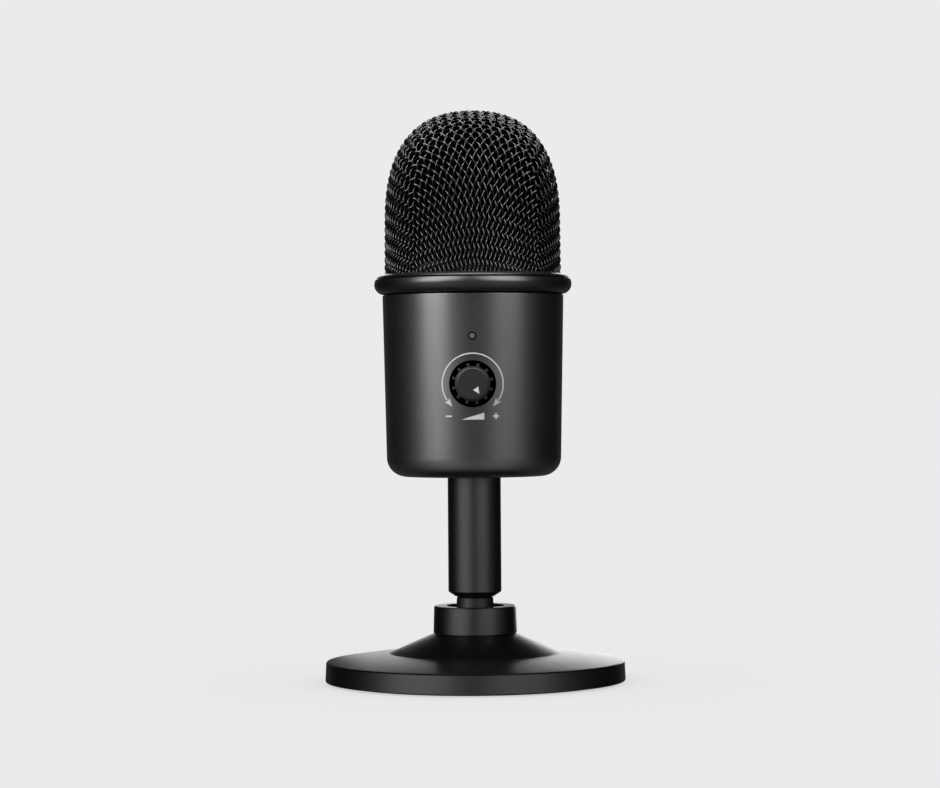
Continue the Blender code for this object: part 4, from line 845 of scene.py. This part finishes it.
# %% Light window
LENS_RADIUS, FLANGE_RADIUS, FLANGE, DOME_DROP, DOME_STEPS = 0.88, 1.7, 1.0, 0.12, 6
lens_front, lens_back = -lens_low.y, -lens_high.y
flange_front = sqrt((body_radius(lens_level) - BODY_WALL) ** 2 - FLANGE_RADIUS ** 2) - GAP
flange_back = flange_front - FLANGE
dome_shares = [step / DOME_STEPS for step in range(DOME_STEPS + 1)]
lens_outline = [(LENS_RADIUS * share, lens_front - DOME_DROP * share ** 2) for share in dome_shares]
lens_outline += [(LENS_RADIUS, flange_front), (FLANGE_RADIUS, flange_front), (FLANGE_RADIUS, flange_back),
                 (LENS_RADIUS, flange_back), (LENS_RADIUS, lens_back), (0, lens_back)]
light_window = turned("light_window_rod", lens_outline, LENS_SIDES)
face_front(light_window, 0, lens_level)
settle(light_window, "microphone", LENS_PLASTIC, ["led_lens"])

# %% [markdown]
# ## Gain knob: its drum
# The knob is moulded plastic: a tapered drum with a chamfered cap and a bore for the shaft. A cylinder would
# need a taper, a chamfer and a cut, and the lathe makes all three at once. The drum is made round Z and
# turned to face the front when its ribs are on.

# %% Drum of the knob
KNOB_CAP, KNOB_FLANK, KNOB_DRUM, KNOB_CHAMFER, KNOB_ROOF, KNOB_BORE = 5.1, 5.7, 5.9, 0.25, 3.3, 3.3
RIB_SHOULDER, CAP_ROUND = 2.2, 0.08
knob_length = knob_high.y - knob_low.y
rib_top = knob_length - RIB_SHOULDER
bore_end = knob_length - KNOB_ROOF
knob_outline = [(0, knob_length), (KNOB_CAP - KNOB_CHAMFER, knob_length),
                (KNOB_CAP, knob_length - KNOB_CHAMFER), (KNOB_FLANK, rib_top), (KNOB_DRUM, 0),
                (KNOB_BORE, 0), (KNOB_BORE, bore_end), (0, bore_end)]
gain_knob = turned("ribbed_gain_knob", knob_outline, PLAIN)
soften_ring(gain_knob, KNOB_CAP - KNOB_CHAMFER, knob_length, CAP_ROUND, 2)
soften_ring(gain_knob, KNOB_CAP, knob_length - KNOB_CHAMFER, CAP_ROUND, 2)

# %% [markdown]
# ## Gain knob: its ribs
# Twelve ribs give the fingers a grip. One rib is a block with bevelled edges that reaches into the drum. An
# Array modifier could repeat it, but it needs a second object to turn about, so Spin copies the rib round the
# axis. A Boolean joins drum and ribs, so that no faces are left inside.

# %% Ribs of the knob
RIB_COUNT, RIB_RADIUS, RIB_WIDTH, RIB_EDGE, FIRST_RIB = 12, 6.7, 0.85, 0.07, 17


def block(name, low, high, edge):
    """A block between two corners in millimetres with all its edges bevelled."""
    take()
    bpy.ops.mesh.primitive_cube_add(size=MM)
    piece = bpy.context.object
    piece.name = piece.data.name = name
    piece.scale = high - low
    piece.location = (low + high) / 2 * MM
    bpy.ops.object.transform_apply(location=True, rotation=True, scale=True)
    bpy.ops.object.mode_set(mode="EDIT")
    bpy.ops.mesh.select_all(action="SELECT")
    bpy.ops.mesh.bevel(offset=edge * MM, segments=2, affect="EDGES")
    bpy.ops.object.mode_set(mode="OBJECT")
    return piece


rib_inside = (KNOB_BORE + KNOB_CAP) / 2
rib_low = Vector((rib_inside, -RIB_WIDTH / 2, GAP))
rib_high = Vector((RIB_RADIUS, RIB_WIDTH / 2, rib_top))
ribs = block("ribs", rib_low, rib_high, RIB_EDGE)
ribs.rotation_euler = (0, 0, radians(90 - FIRST_RIB))
bpy.ops.object.transform_apply(location=True, rotation=True, scale=True)
bpy.ops.object.mode_set(mode="EDIT")
bpy.ops.mesh.select_all(action="SELECT")
last_turn = 2 * pi - 2 * pi / RIB_COUNT
bpy.ops.mesh.spin(steps=RIB_COUNT - 1, dupli=True, angle=last_turn, center=(0, 0, 0), axis=(0, 0, 1))
bpy.ops.object.mode_set(mode="OBJECT")
carve(gain_knob, ribs, "UNION")
face_front(gain_knob, knob_high.y, knob_level)
settle(gain_knob, "knob", KNOB_PLASTIC, ["gain_knob"])

# %% [markdown]
# ## Pointer
# A small grey triangle on the cap shows how far the knob is turned. On the knob it is a filled inlay, and a
# second material on the cap could show it. A thin plate that is sunk into the cap gives it a true edge, and
# it rides on the knob.

# %% Pointer
POINTER_TURN, POINTER_TIP, POINTER_BASE, POINTER_HALF = radians(146), 3.95, 1.8, 1.02
POINTER_SUNK, POINTER_PROUD = 0.2, 0.03
aim = Vector((sin(POINTER_TURN), cos(POINTER_TURN)))
across = Vector((-aim.y, aim.x)) * POINTER_HALF
pointer_corners = [aim * POINTER_TIP, aim * POINTER_BASE + across, aim * POINTER_BASE - across]
pointer = flat_triangle("knob_pointer", pointer_corners, 1)
bpy.ops.object.mode_set(mode="EDIT")
bpy.ops.mesh.select_all(action="SELECT")
thickness = (POINTER_SUNK + POINTER_PROUD) * MM
bpy.ops.mesh.extrude_region_move(TRANSFORM_OT_translate={"value": (0, 0, thickness)})
close_up()
face_front(pointer, knob_low.y + POINTER_SUNK, knob_level)
settle(pointer, "knob", PRINT_INK)

# %% [markdown]
# ## Bumper ring
# A half round ring covers the seam between body and grille. A torus would be round all over, while this one
# has a fine groove near its top that leaves a thin lip, which shows as a light line, and a step inside that
# carries the foot of the grille. So it is turned too.

# %% Bumper ring
ring_low, ring_high = box_mm("trim_ring")
RING_BORE, GRILLE_BORE, RING_SEAT = 28.57, 29.77, 3.9
GROOVE_TURN, GROOVE_HALF, GROOVE_DEPTH = 35, 6.0, 1.0
LIP_POINTS, GROOVE_POINTS, SIDE_POINTS = 12, 2, 32
ring_half = (ring_high.z - ring_low.z) / 2
ring_middle = ring_high.x - ring_half
ring_level = ring_low.z + ring_half
lip_start = degrees(acos((GRILLE_BORE - ring_middle) / ring_half))
groove_top, groove_foot = GROOVE_TURN + GROOVE_HALF, GROOVE_TURN - GROOVE_HALF
ring_outline = arc(ring_middle, ring_level, ring_half, lip_start, groove_top, LIP_POINTS)
ring_outline += arc(ring_middle, ring_level, ring_half - GROOVE_DEPTH,
                    GROOVE_TURN + GROOVE_HALF / 2, GROOVE_TURN - GROOVE_HALF / 2, GROOVE_POINTS)
ring_outline += arc(ring_middle, ring_level, ring_half, groove_foot, -90, SIDE_POINTS)
ring_outline += [(RING_BORE, ring_low.z), (RING_BORE, ring_low.z + RING_SEAT),
                 (GRILLE_BORE, ring_low.z + RING_SEAT), ring_outline[0]]
bumper_ring = turned("bumper_ring", ring_outline, FINE)
settle(bumper_ring, "microphone", RING_PAINT, ["trim_ring"])

# %% [markdown]
# ## The woven dome: its surface
# The head is a square of woven wire pressed into a dome: a rounded top on a straight skirt that flares a
# little. Every wire lies on that surface, so it is written as a formula that gives a point for a turn round
# the axis and a way down from the top. A superellipse has the right shoulder with a single power.

# %% Outline of the dome
grille_low, grille_high = box_mm("grille")
WIRE_RADIUS, CRIMP = 0.29, 0.45
DOME_POWER, STRAIGHT, SHOULDER_RADIUS, FLARE = 2.5, 19.0, 29.3, 0.17
DOME_POINTS, SLACK, NUDGE, TINY = 900, 6.0, 0.1, 1e-6
FIRST_WIRE = radians(-41.6)
skin = WIRE_RADIUS + CRIMP
shoulder = grille_low.z + STRAIGHT
foot_radius = SHOULDER_RADIUS + FLARE - skin


def dome_curve(radius, height, points):
    """The dome's outline from its top to its shoulder."""
    turns = [pi / 2 * step / points for step in range(points + 1)]
    power = 2 / DOME_POWER
    return [(radius * sin(turn) ** power, shoulder + height * max(cos(turn), 0) ** power) for turn in turns]


path = np.array(dome_curve(SHOULDER_RADIUS - skin, grille_high.z - shoulder - skin, DOME_POINTS)
                + [(foot_radius, grille_low.z), (foot_radius, grille_low.z - SLACK)])
path_length = np.concatenate([[0], np.cumsum(np.linalg.norm(np.diff(path, axis=0), axis=1))])


def radius_at(length):
    """The dome's radius at a way down from its top."""
    return np.interp(length, path_length, path[:, 0])


def on_dome(turn, length):
    """A point of the wires' middle surface, by its turn from the first wire and its way from the top."""
    radius = radius_at(length)
    azimuth = turn + FIRST_WIRE - pi / 2
    return Vector((radius * cos(azimuth), radius * sin(azimuth), np.interp(length, path_length, path[:, 1])))


def outward(turn, length):
    """The direction square to that surface."""
    step = on_dome(turn, length + NUDGE) - on_dome(turn, max(length - NUDGE, 0))
    round_about = Vector((0, 0, 1)).cross(step)
    return step.cross(round_about).normalized() if round_about.length > TINY else Vector((0, 0, 1))


print(f"from the top to the foot: {path_length[-1] - SLACK:.1f} mm")

# %% [markdown]
# ## The woven dome: its rows
# Wires do not stretch, so each mesh stays close to a rhombus with sides of one pitch, and the cloth shears
# instead: square at the top and along the two main wires, drawn to narrow diamonds between them. Lower down
# the narrow meshes jam, and the wires spread evenly. A cloth simulation could find this, but it would give a
# heavy mesh. Two ways down are enough: along a main wire and midway between two, row by row.

# %% Rows of the net
PITCH, ROWS, ROW_AHEAD = 2.56, 36, 0.8
EVEN_AT_FOOT, GATHER = 1.2, 0.5
SEAM_DRAW, MIDDLE_DRAW = 0.11, 0.02


def evenness(row):
    """How evenly the wires share the quarter turn in one row: 0 as in flat cloth, about 1 where they jam."""
    wanted = max((row * PITCH / radius_at(row * PITCH) - 1) / GATHER, 0)
    return wanted / (1 + (wanted / EVEN_AT_FOOT) ** 4) ** 0.25


along_main, between = [0.0, PITCH * (1 - SEAM_DRAW * evenness(1))], [0.0, PITCH / sqrt(2)]
for row in range(2, ROWS):
    even = evenness(row)
    along_main.append(along_main[-1] + PITCH * (1 - SEAM_DRAW * even))
    mesh_side = PITCH * (1 + MIDDLE_DRAW * even)
    quarter_width = 2 * (1 - even) + even * pi / 2
    half_mesh = radius_at(between[-1] + ROW_AHEAD * PITCH) * quarter_width / row / 2
    between.append(between[-1] + sqrt(mesh_side ** 2 - half_mesh ** 2))
print("rows down a main wire:", sum(way < path_length[-1] - SLACK for way in along_main))

# %% [markdown]
# ## The woven dome: its knots
# A knot is where two wires cross, known by its two counts from the top. Within a row it sags from the main
# wires towards the middle, and how much follows from how evenly the row is spread. One quarter is worked
# out, and the other three are the same quarter turned.

# %% Knots of the net
FLAT_SAG, JAMMED_SAG = 1.8, 0.33


def knot_of(i, j):
    """A knot's turn from the first wire, from 0 to a quarter, and its way down from the top."""
    row = i + j
    even = evenness(row)
    turn = (1 - even) * atan2(j, i) + even * pi / 2 * j / row
    sag = 1 - abs(1 - 2 * j / row) ** (FLAT_SAG - JAMMED_SAG * even)
    return turn, along_main[row] + (between[row] - along_main[row]) * sag


quarter = {(0, 0): (0.0, 0.0)}
for row in range(1, ROWS):
    for j in range(row + 1):
        turn, length = knot_of(row - j, j)
        if length < path_length[-1]:
            quarter[(row - j, j)] = (turn, length)
knots = {}
for (i, j), (turn, length) in quarter.items():
    for count, key in enumerate([(i, j), (-j, i), (-i, -j), (j, -i)]):
        knots[key] = (turn + count * pi / 2, length)
reach = max(max(abs(i), abs(j)) for i, j in knots)
print(f"net: {len(knots)} knots, {reach} along a main wire")

# %% [markdown]
# ## The woven dome: the way of a wire
# A wire runs through the knots of one row, over one crossing wire and under the next. Between two knots a
# smooth curve carries it along the dome, and a cosine lifts it out and in. Straight pieces from knot to knot
# would leave corners that show as kinks in the highlights.

# %% Way of a wire
WIRE_STEPS = 6
net_foot = grille_low.z + WIRE_RADIUS


def smooth_between(before, start, end, after, share):
    """A point on a smooth curve from start to end that also heeds the knots before and after them."""
    a = 2 * start
    b = end - before
    c = 2 * before - 5 * start + 4 * end - after
    d = 3 * start - before - 3 * end + after
    return (a + b * share + c * share ** 2 + d * share ** 3) / 2


def wire_path(row, over):
    """Points along one wire. The row holds its knots, and over says which side the first one is on."""
    places = [on_dome(*knot) for knot in row]
    outs = [outward(*knot) for knot in row]
    points = []
    for number in range(len(row) - 1):
        start, end = places[number], places[number + 1]
        before = places[number - 1] if number else 2 * start - end
        after = places[number + 2] if number + 2 < len(row) else 2 * end - start
        side = CRIMP if (number + over) % 2 else -CRIMP
        for step in range(WIRE_STEPS):
            share = step / WIRE_STEPS
            place = smooth_between(before, start, end, after, share)
            out = outs[number].lerp(outs[number + 1], share).normalized()
            place += out * side * cos(pi * share)
            if place.z > net_foot:
                points.append(place)
    return points


print("points from knot to knot:", WIRE_STEPS)

# %% [markdown]
# ## The woven dome: its wires
# The wires of each direction become one curve object with a round bevel, which is then made a mesh. A
# six-sided bevel is enough for so thin a wire when it is shaded smooth all over, and it keeps each of the
# two pieces light.

# %% Wires
def woven_wires(name, across):
    """All wires of one direction as one mesh. The other direction swaps the two counts of a knot."""
    cage = bpy.data.curves.new(name, "CURVE")
    cage.dimensions = "3D"
    cage.bevel_depth = WIRE_RADIUS * MM
    cage.bevel_resolution = 1
    cage.use_fill_caps = True
    for lane in range(-reach, reach + 1):
        places = sorted(i if across else j for i, j in knots if (j if across else i) == lane)
        if len(places) < 2:
            continue
        row = [knots[(place, lane) if across else (lane, place)] for place in places]
        points = wire_path(row, (places[0] + lane + across) % 2)
        if len(points) < 3:
            continue
        spline = cage.splines.new("POLY")
        spline.points.add(len(points) - 1)
        for target, point in zip(spline.points, points):
            target.co = (*(point * MM), 1.0)
    print(f"{name}: {len(cage.splines)} wires")
    piece = bpy.data.objects.new(name, cage)
    bpy.context.scene.collection.objects.link(piece)
    take(piece)
    bpy.ops.object.convert(target="MESH")
    piece = bpy.context.object
    piece.data.name = name
    bpy.ops.object.mode_set(mode="EDIT")
    close_up()
    return piece


wire_pieces = [woven_wires("grille_warp_wires", True), woven_wires("grille_weft_wires", False)]
for wires in wire_pieces:
    settle(wires, "microphone", WIRE_COAT, ["grille"], sharp=pi)
    print(f"{wires.name}: {len(wires.data.polygons)} faces")

# %% [markdown]
# ## Hoop inside the grille
# A thin steel hoop holds the foot of the cloth from inside. A tube with Solidify would do, but four corners
# on the lathe are as quick. It is turned slightly smaller than the inner side of the wires.

# %% Hoop
hoop_low, hoop_high = box_mm("grille_band")
HOOP_WALL, HOOP_GAP, HOOP_ROUND = 0.6, 0.05, 0.2
hoop_radius = foot_radius - skin - HOOP_GAP
hoop_outline = [(hoop_radius, hoop_high.z), (hoop_radius, hoop_low.z), (hoop_radius - HOOP_WALL, hoop_low.z),
                (hoop_radius - HOOP_WALL, hoop_high.z), (hoop_radius, hoop_high.z)]
hoop = turned("grille_hoop", hoop_outline)
soften_ring(hoop, hoop_radius, hoop_high.z, HOOP_ROUND, 3)
settle(hoop, "microphone", HOOP_COAT, ["grille_band"])

# %% [markdown]
# ## Foam liner
# Open-celled foam lines the grille against wind and breath. Modelling its cells would take millions of faces.
# It is a moulded cap, so it is turned from the dome's own curve at a smaller size, and a Displace modifier
# roughens its skin with the foam's cells.

# %% Foam liner
foam_low, foam_high = box_mm("foam_liner")
FOAM_THICKNESS, CELL_DEPTH, CELL_SIZE = 3.0, 0.22, 1.1
FOAM_POINTS, INNER_POINTS, SKIRT_RINGS, FOAM_SIDES = 60, 15, 40, 220
foam_radius = foam_high.x
foam_height = foam_high.z - shoulder
foam_outline = dome_curve(foam_radius - CELL_DEPTH, foam_height - CELL_DEPTH, FOAM_POINTS)
skirt_levels = [shoulder + (foam_low.z - shoulder) * (ring + 1) / SKIRT_RINGS for ring in range(SKIRT_RINGS)]
foam_outline += [(foam_radius - CELL_DEPTH, level) for level in skirt_levels]
foam_outline += [(foam_radius - FOAM_THICKNESS, foam_low.z)]
foam_outline += dome_curve(foam_radius - FOAM_THICKNESS, foam_height - FOAM_THICKNESS, INNER_POINTS)[::-1]
foam_liner = turned("foam_liner_cap", foam_outline, FOAM_SIDES)
cells = bpy.data.textures.new("foam_cells", "VORONOI")
cells.noise_scale = CELL_SIZE * MM
modified(foam_liner, "DISPLACE", texture=cells, strength=CELL_DEPTH * MM)
settle(foam_liner, "microphone", FOAM, ["foam_liner"])

# %% [markdown]
# ## Inlet at the back: its can
# The cable's inlet is a folded steel can with half round ends. Solidify on a tube could make the sheet, but
# the can has a floor too. So it is a prism whose open end is inset by one sheet and pushed in.

# %% Inlet can
SHEET, CAN_FLOOR, FACING = 0.3, 0.3, 0.9
inlet_can = slot_prism("inlet_can", socket_size.x, socket_size.z, socket_size.y)
pick(inlet_can, "FACE", lambda face: face.normal.z < -FACING)
bpy.ops.mesh.inset(thickness=SHEET * MM, use_boundary=True)
push = (socket_size.y - CAN_FLOOR) * MM
bpy.ops.mesh.extrude_region_move(TRANSFORM_OT_translate={"value": (0, 0, push)})
bpy.ops.mesh.select_mode(type="VERT")
close_up()
face_front(inlet_can, socket_high.y, socket_level)
settle(inlet_can, "microphone", STEEL, ["usb_socket"])

# %% [markdown]
# ## Inlet at the back: its tongue
# The tongue is a small plate with bevelled edges. On both of its sides lie the contacts, narrow gold strips.
# One strip is modelled and copied in a row, and the row is copied to the other side.

# %% Inlet tongue
tongue_low, tongue_high = box_mm("usb_tongue")
TONGUE_EDGE = 0.12
CONTACTS, CONTACT_PITCH, CONTACT_WIDTH, CONTACT_LIFT, CONTACT_EDGE = 12, 0.5, 0.27, 0.03, 0.01
CONTACT_FRONT, CONTACT_BACK = 1.0, 0.6
tongue = block("inlet_tongue", tongue_low, tongue_high, TONGUE_EDGE)
settle(tongue, "microphone", BLACK_PLASTIC, ["usb_tongue"])
first_x = -(CONTACTS - 1) / 2 * CONTACT_PITCH
strip_low = Vector((first_x - CONTACT_WIDTH / 2, tongue_low.y + CONTACT_FRONT, tongue_low.z - CONTACT_LIFT))
strip_high = Vector((first_x + CONTACT_WIDTH / 2, tongue_high.y - CONTACT_BACK, tongue_low.z + CONTACT_LIFT))
contacts = block("inlet_contacts", strip_low, strip_high, CONTACT_EDGE)
bpy.ops.object.mode_set(mode="EDIT")
bpy.ops.mesh.select_all(action="SELECT")
for _ in range(CONTACTS - 1):
    bpy.ops.mesh.duplicate_move(TRANSFORM_OT_translate={"value": (CONTACT_PITCH * MM, 0, 0)})
bpy.ops.mesh.select_all(action="SELECT")
across_tongue = (tongue_high.z - tongue_low.z) * MM
bpy.ops.mesh.duplicate_move(TRANSFORM_OT_translate={"value": (0, 0, across_tongue)})
bpy.ops.object.mode_set(mode="OBJECT")
settle(contacts, "microphone", BRASS)

# %% [markdown]
# ## Dress what stays of the frame
# The inner solids have the right shape already, so they stay and only get a finish. The record names a
# material slot for each of them, and each slot takes one of the finishes made above.

# %% Finishes for the inner solids
SLOT_FINISH = {
    "body_paint": BODY_PAINT, "base_paint": BASE_PAINT, "trim_paint": RING_PAINT, "grille_wire": WIRE_COAT,
    "black_steel": BLACK_STEEL, "knob_plastic": KNOB_PLASTIC, "lens_plastic": LENS_PLASTIC, "foam": FOAM,
    "rubber": RUBBER, "nylon": NYLON, "black_plastic": BLACK_PLASTIC, "steel": STEEL, "brass": BRASS,
    "bare_aluminium": ALUMINIUM, "cast_iron": IRON, "board_green": BOARD, "cable_grey": CABLE,
}
for entry in frame["record"]["subparts"]:
    slots = frame["nodes"][entry["node"]].data.materials
    slots.clear()
    slots.append(SLOT_FINISH[entry["material_slot"]])
print("finishes given to", len(frame["nodes"]), "solids of the frame")

# %% [markdown]
# ## Room
# To the camera the room is an even pale grey, and as light it is dim and even. What glossy surfaces mirror is
# graded instead: two pools of light on the floor in front, a little light from below and from straight
# behind, and dark all round, as when black flags stand there to give a dark object its dark edges. Real
# flags would stand in the way of a camera that goes round the object.

# %% World
BACKGROUND, ROOM_LIGHT = 0.83, 0.32
FRONT, FLOOR_GLOW, BELOW, BEHIND, DARK = 0.03, 0.56, 0.05, 0.06, 0.001
world = bpy.data.worlds.new("studio")
bpy.context.scene.world = world
world.use_nodes = True
room = Socket(world.node_tree)
heading = room.node("ShaderNodeTexCoord", output="Generated")
axes = [room.node("ShaderNodeSeparateXYZ", {}, {0: heading}, axis) for axis in "XYZ"]
side, depth, height = [axis * 0.5 + 0.5 for axis in axes]


def graded(value, *stops):
    """A value led through a ramp of grey stops."""
    return room.node("ShaderNodeValToRGB", {"stops": stops}, {0: value})


ahead = graded(depth, (0.2, 1.0), (0.5, 0.12), (0.62, 0.0))
left_pool = [(0.0, 0.8), (0.16, 1.0), (0.33, 0.60), (0.48, 0.26)]
right_pool = [(0.54, 0.28), (0.72, 0.62), (0.8, 0.64), (1.0, 0.4)]
two_pools = graded(side, *left_pool, *right_pool)
low = graded(height, (0.05, 0.9), (0.46, 1.0), (0.53, 0.0))
high = graded(height, (0.47, 0.0), (0.53, 1.0), (0.8, 0.4))
under = graded(height, (0.25, 1.0), (0.44, 0.0))
behind = graded(depth, (0.88, 0.0), (0.95, 1.0))
mirror = ahead * (two_pools * low * FLOOR_GLOW + high * FRONT) + under * BELOW + behind * BEHIND + DARK
glossy_ray = room.node("ShaderNodeLightPath", output="Is Glossy Ray")
plain_ray = (room.node("ShaderNodeLightPath", output="Is Camera Ray")
             + room.node("ShaderNodeLightPath", output="Is Transmission Ray"))
level = plain_ray * BACKGROUND + glossy_ray * mirror + (1 - plain_ray - glossy_ray) * ROOM_LIGHT
backdrop = world.node_tree.nodes["Background"]
backdrop.inputs["Color"].default_value = (1, 1, 1, 1)
world.node_tree.links.new(level.output, backdrop.inputs["Strength"])
print("world:", BACKGROUND, "to the camera,", ROOM_LIGHT, "as light")

# %% [markdown]
# ## Floor
# The microphone stands on a pale floor that runs into the background without a line. A lamp bright enough to
# make the floor so pale would bleach the object, so the floor glows by itself to make up for the dim room,
# and it darkens only where the object shades it. Glossy surfaces see the room's pools in its place.

# %% Floor
FLOOR_SIZE = 80
take()
bpy.ops.mesh.primitive_plane_add(size=FLOOR_SIZE)
floor = bpy.context.object
floor.name = "studio_floor"
floor_finish, floor_tree, _ = new_finish("pale_floor", Base_Color=(*grey(BACKGROUND), 1), Roughness=1.0,
                                         Specular_IOR_Level=0.0, Emission_Strength=1.0)
seen = (floor_tree.node("ShaderNodeLightPath", output="Is Camera Ray")
        + floor_tree.node("ShaderNodeLightPath", output="Is Glossy Ray")
        + floor_tree.node("ShaderNodeLightPath", output="Is Transmission Ray"))
feed(floor_finish, Emission_Color=seen * (BACKGROUND * (1 - ROOM_LIGHT)))
floor.data.materials.append(floor_finish)
floor.visible_glossy = floor.visible_diffuse = floor.visible_shadow = False
print("floor:", FLOOR_SIZE, "m across")

# %% [markdown]
# ## Soft boxes
# A soft box is an area lamp: the larger it is, the softer its highlight. Its radiance is what a mirror would
# show of it, and its power follows from that and from its size. A lamp can be linked to a collection, so that
# it shines on those pieces alone, or on all but those.

# %% Lamp helpers
AIM, LAMP_DISTANCE = Vector((0, 0, 0.11)), 1.2


def lit_by(name, pieces, state):
    """A collection that a lamp shines on, or that it leaves out."""
    group = bpy.data.collections.new(name)
    for piece in pieces:
        group.objects.link(piece)
    for member in group.collection_objects:
        member.light_linking.link_state = state
    return group


def around(azimuth, elevation):
    """A place at an angle from the camera's side, as seen from the middle of the object."""
    turn, rise = radians(azimuth), radians(elevation)
    return AIM + Vector((sin(turn) * cos(rise), -cos(turn) * cos(rise), sin(rise))) * LAMP_DISTANCE


def soft_box(name, place, width, height, radiance, receivers, aim=AIM):
    """An area lamp at a place, turned to an aim."""
    lamp_data = bpy.data.lights.new(name, "AREA")
    lamp_data.shape = "RECTANGLE"
    lamp_data.size, lamp_data.size_y = width, height
    lamp_data.energy = radiance * pi * width * height
    lamp = bpy.data.objects.new(name, lamp_data)
    bpy.context.scene.collection.objects.link(lamp)
    lamp.location = place
    lamp.rotation_euler = (place - aim).to_track_quat("Z", "Y").to_euler()
    lamp.light_linking.receiver_collection = receivers
    print(f"{name}: {lamp_data.energy:.1f} W")


print("lamps stand", LAMP_DISTANCE, "m away")

# %% [markdown]
# ## Lamps
# Two tall soft boxes light the upper half from the front left and the front right. The left one is brighter
# and draws the long highlight down the body. Two low wide ones do the same for stem, collar and base, and two
# more widen the highlights on the bumper ring. The wires are so thin and dark that only their gloss shows, so
# they have brighter boxes of their own. One lamp hangs above, one stands behind for the back of the object,
# and two low strips behind give the crown of the base its sheen, stronger on the right. One pair of lamps
# could light it all, but each finish would then mirror it too strongly or too weakly. No lamp shines on the
# floor, so it stays even.

# %% Lamps
CROWN = Vector((0, 0, 0.01))
wires_alone = lit_by("wires_alone", wire_pieces, "INCLUDE")
ring_alone = lit_by("ring_alone", [bumper_ring], "INCLUDE")
base_alone = lit_by("base_alone", [base_shell, collar], "INCLUDE")
lower_half = lit_by("lower_half", [base_shell, collar, stem, ball_stud, foot_pad], "INCLUDE")
upper_half = lit_by("upper_half", [floor, base_shell, collar, stem, foot_pad] + wire_pieces, "EXCLUDE")
not_base_or_collar = lit_by("not_base_or_collar", [floor, base_shell, collar], "EXCLUDE")
not_base_or_wires = lit_by("not_base_or_wires", [floor, base_shell] + wire_pieces, "EXCLUDE")
soft_box("left_soft_box", around(-50, 31), 0.70, 1.20, 5.6, upper_half)
soft_box("right_soft_box", around(45, 31), 0.85, 1.20, 2.0, upper_half)
soft_box("left_low_box", around(-44, 8), 1.25, 0.45, 0.85, lower_half)
soft_box("right_low_box", around(33, 8), 1.10, 0.45, 0.55, lower_half)
soft_box("left_ring_box", around(-24, 31), 0.30, 0.90, 4.0, ring_alone)
soft_box("right_ring_box", around(33, 31), 0.90, 0.90, 3.0, ring_alone)
soft_box("left_wire_box", around(-42, 22), 0.60, 0.80, 27.0, wires_alone)
soft_box("right_wire_box", around(40, 22), 0.60, 0.80, 11.0, wires_alone)
soft_box("top_wire_box", around(0, 88), 1.20, 1.00, 15.0, wires_alone)
soft_box("top_soft_box", around(0, 86), 1.20, 0.50, 4.2, not_base_or_wires)
soft_box("rear_soft_box", around(180, 32), 0.60, 1.00, 3.0, not_base_or_collar)
soft_box("rear_left_strip", Vector((-0.030, 0.35, 0.06)), 0.08, 0.12, 1.7, base_alone, CROWN)
soft_box("rear_right_strip", Vector((0.10, 0.35, 0.06)), 0.16, 0.12, 3.0, base_alone, CROWN)

# %% [markdown]
# ## Camera
# The picture was taken from just below the knob's height with a long lens, turned by less than a degree.
# The distance comes from how round the base's rim looks, and the lens from the size of the base.

# %% Camera
FRAME_WIDTH, SENSOR, PIXELS_PER_MM = 940, 36.0, 3.0
DISTANCE, CAMERA_ASIDE, CAMERA_HEIGHT = 0.980, -0.0012, 0.0973
PITCH_DOWN, ROLL, ORBIT = radians(0.08), radians(0.4), radians(0.65)
camera_data = bpy.data.cameras.new("portrait_camera")
camera_data.sensor_width = SENSOR
camera_data.lens = SENSOR * PIXELS_PER_MM * DISTANCE / MM / FRAME_WIDTH
camera_data.clip_start, camera_data.clip_end = 0.01, 200
camera = bpy.data.objects.new("portrait_camera", camera_data)
bpy.context.scene.collection.objects.link(camera)
camera.location = Matrix.Rotation(ORBIT, 3, "Z") @ Vector((CAMERA_ASIDE, -DISTANCE, CAMERA_HEIGHT))
level_view = Euler((pi / 2 - PITCH_DOWN, 0, ORBIT)).to_matrix()
camera.rotation_euler = (level_view @ Matrix.Rotation(-ROLL, 3, "Z")).to_euler()
bpy.context.scene.camera = camera
bpy.context.scene.view_settings.view_transform = "Standard"
print(f"camera: {camera_data.lens:.1f} mm lens at {DISTANCE} m")
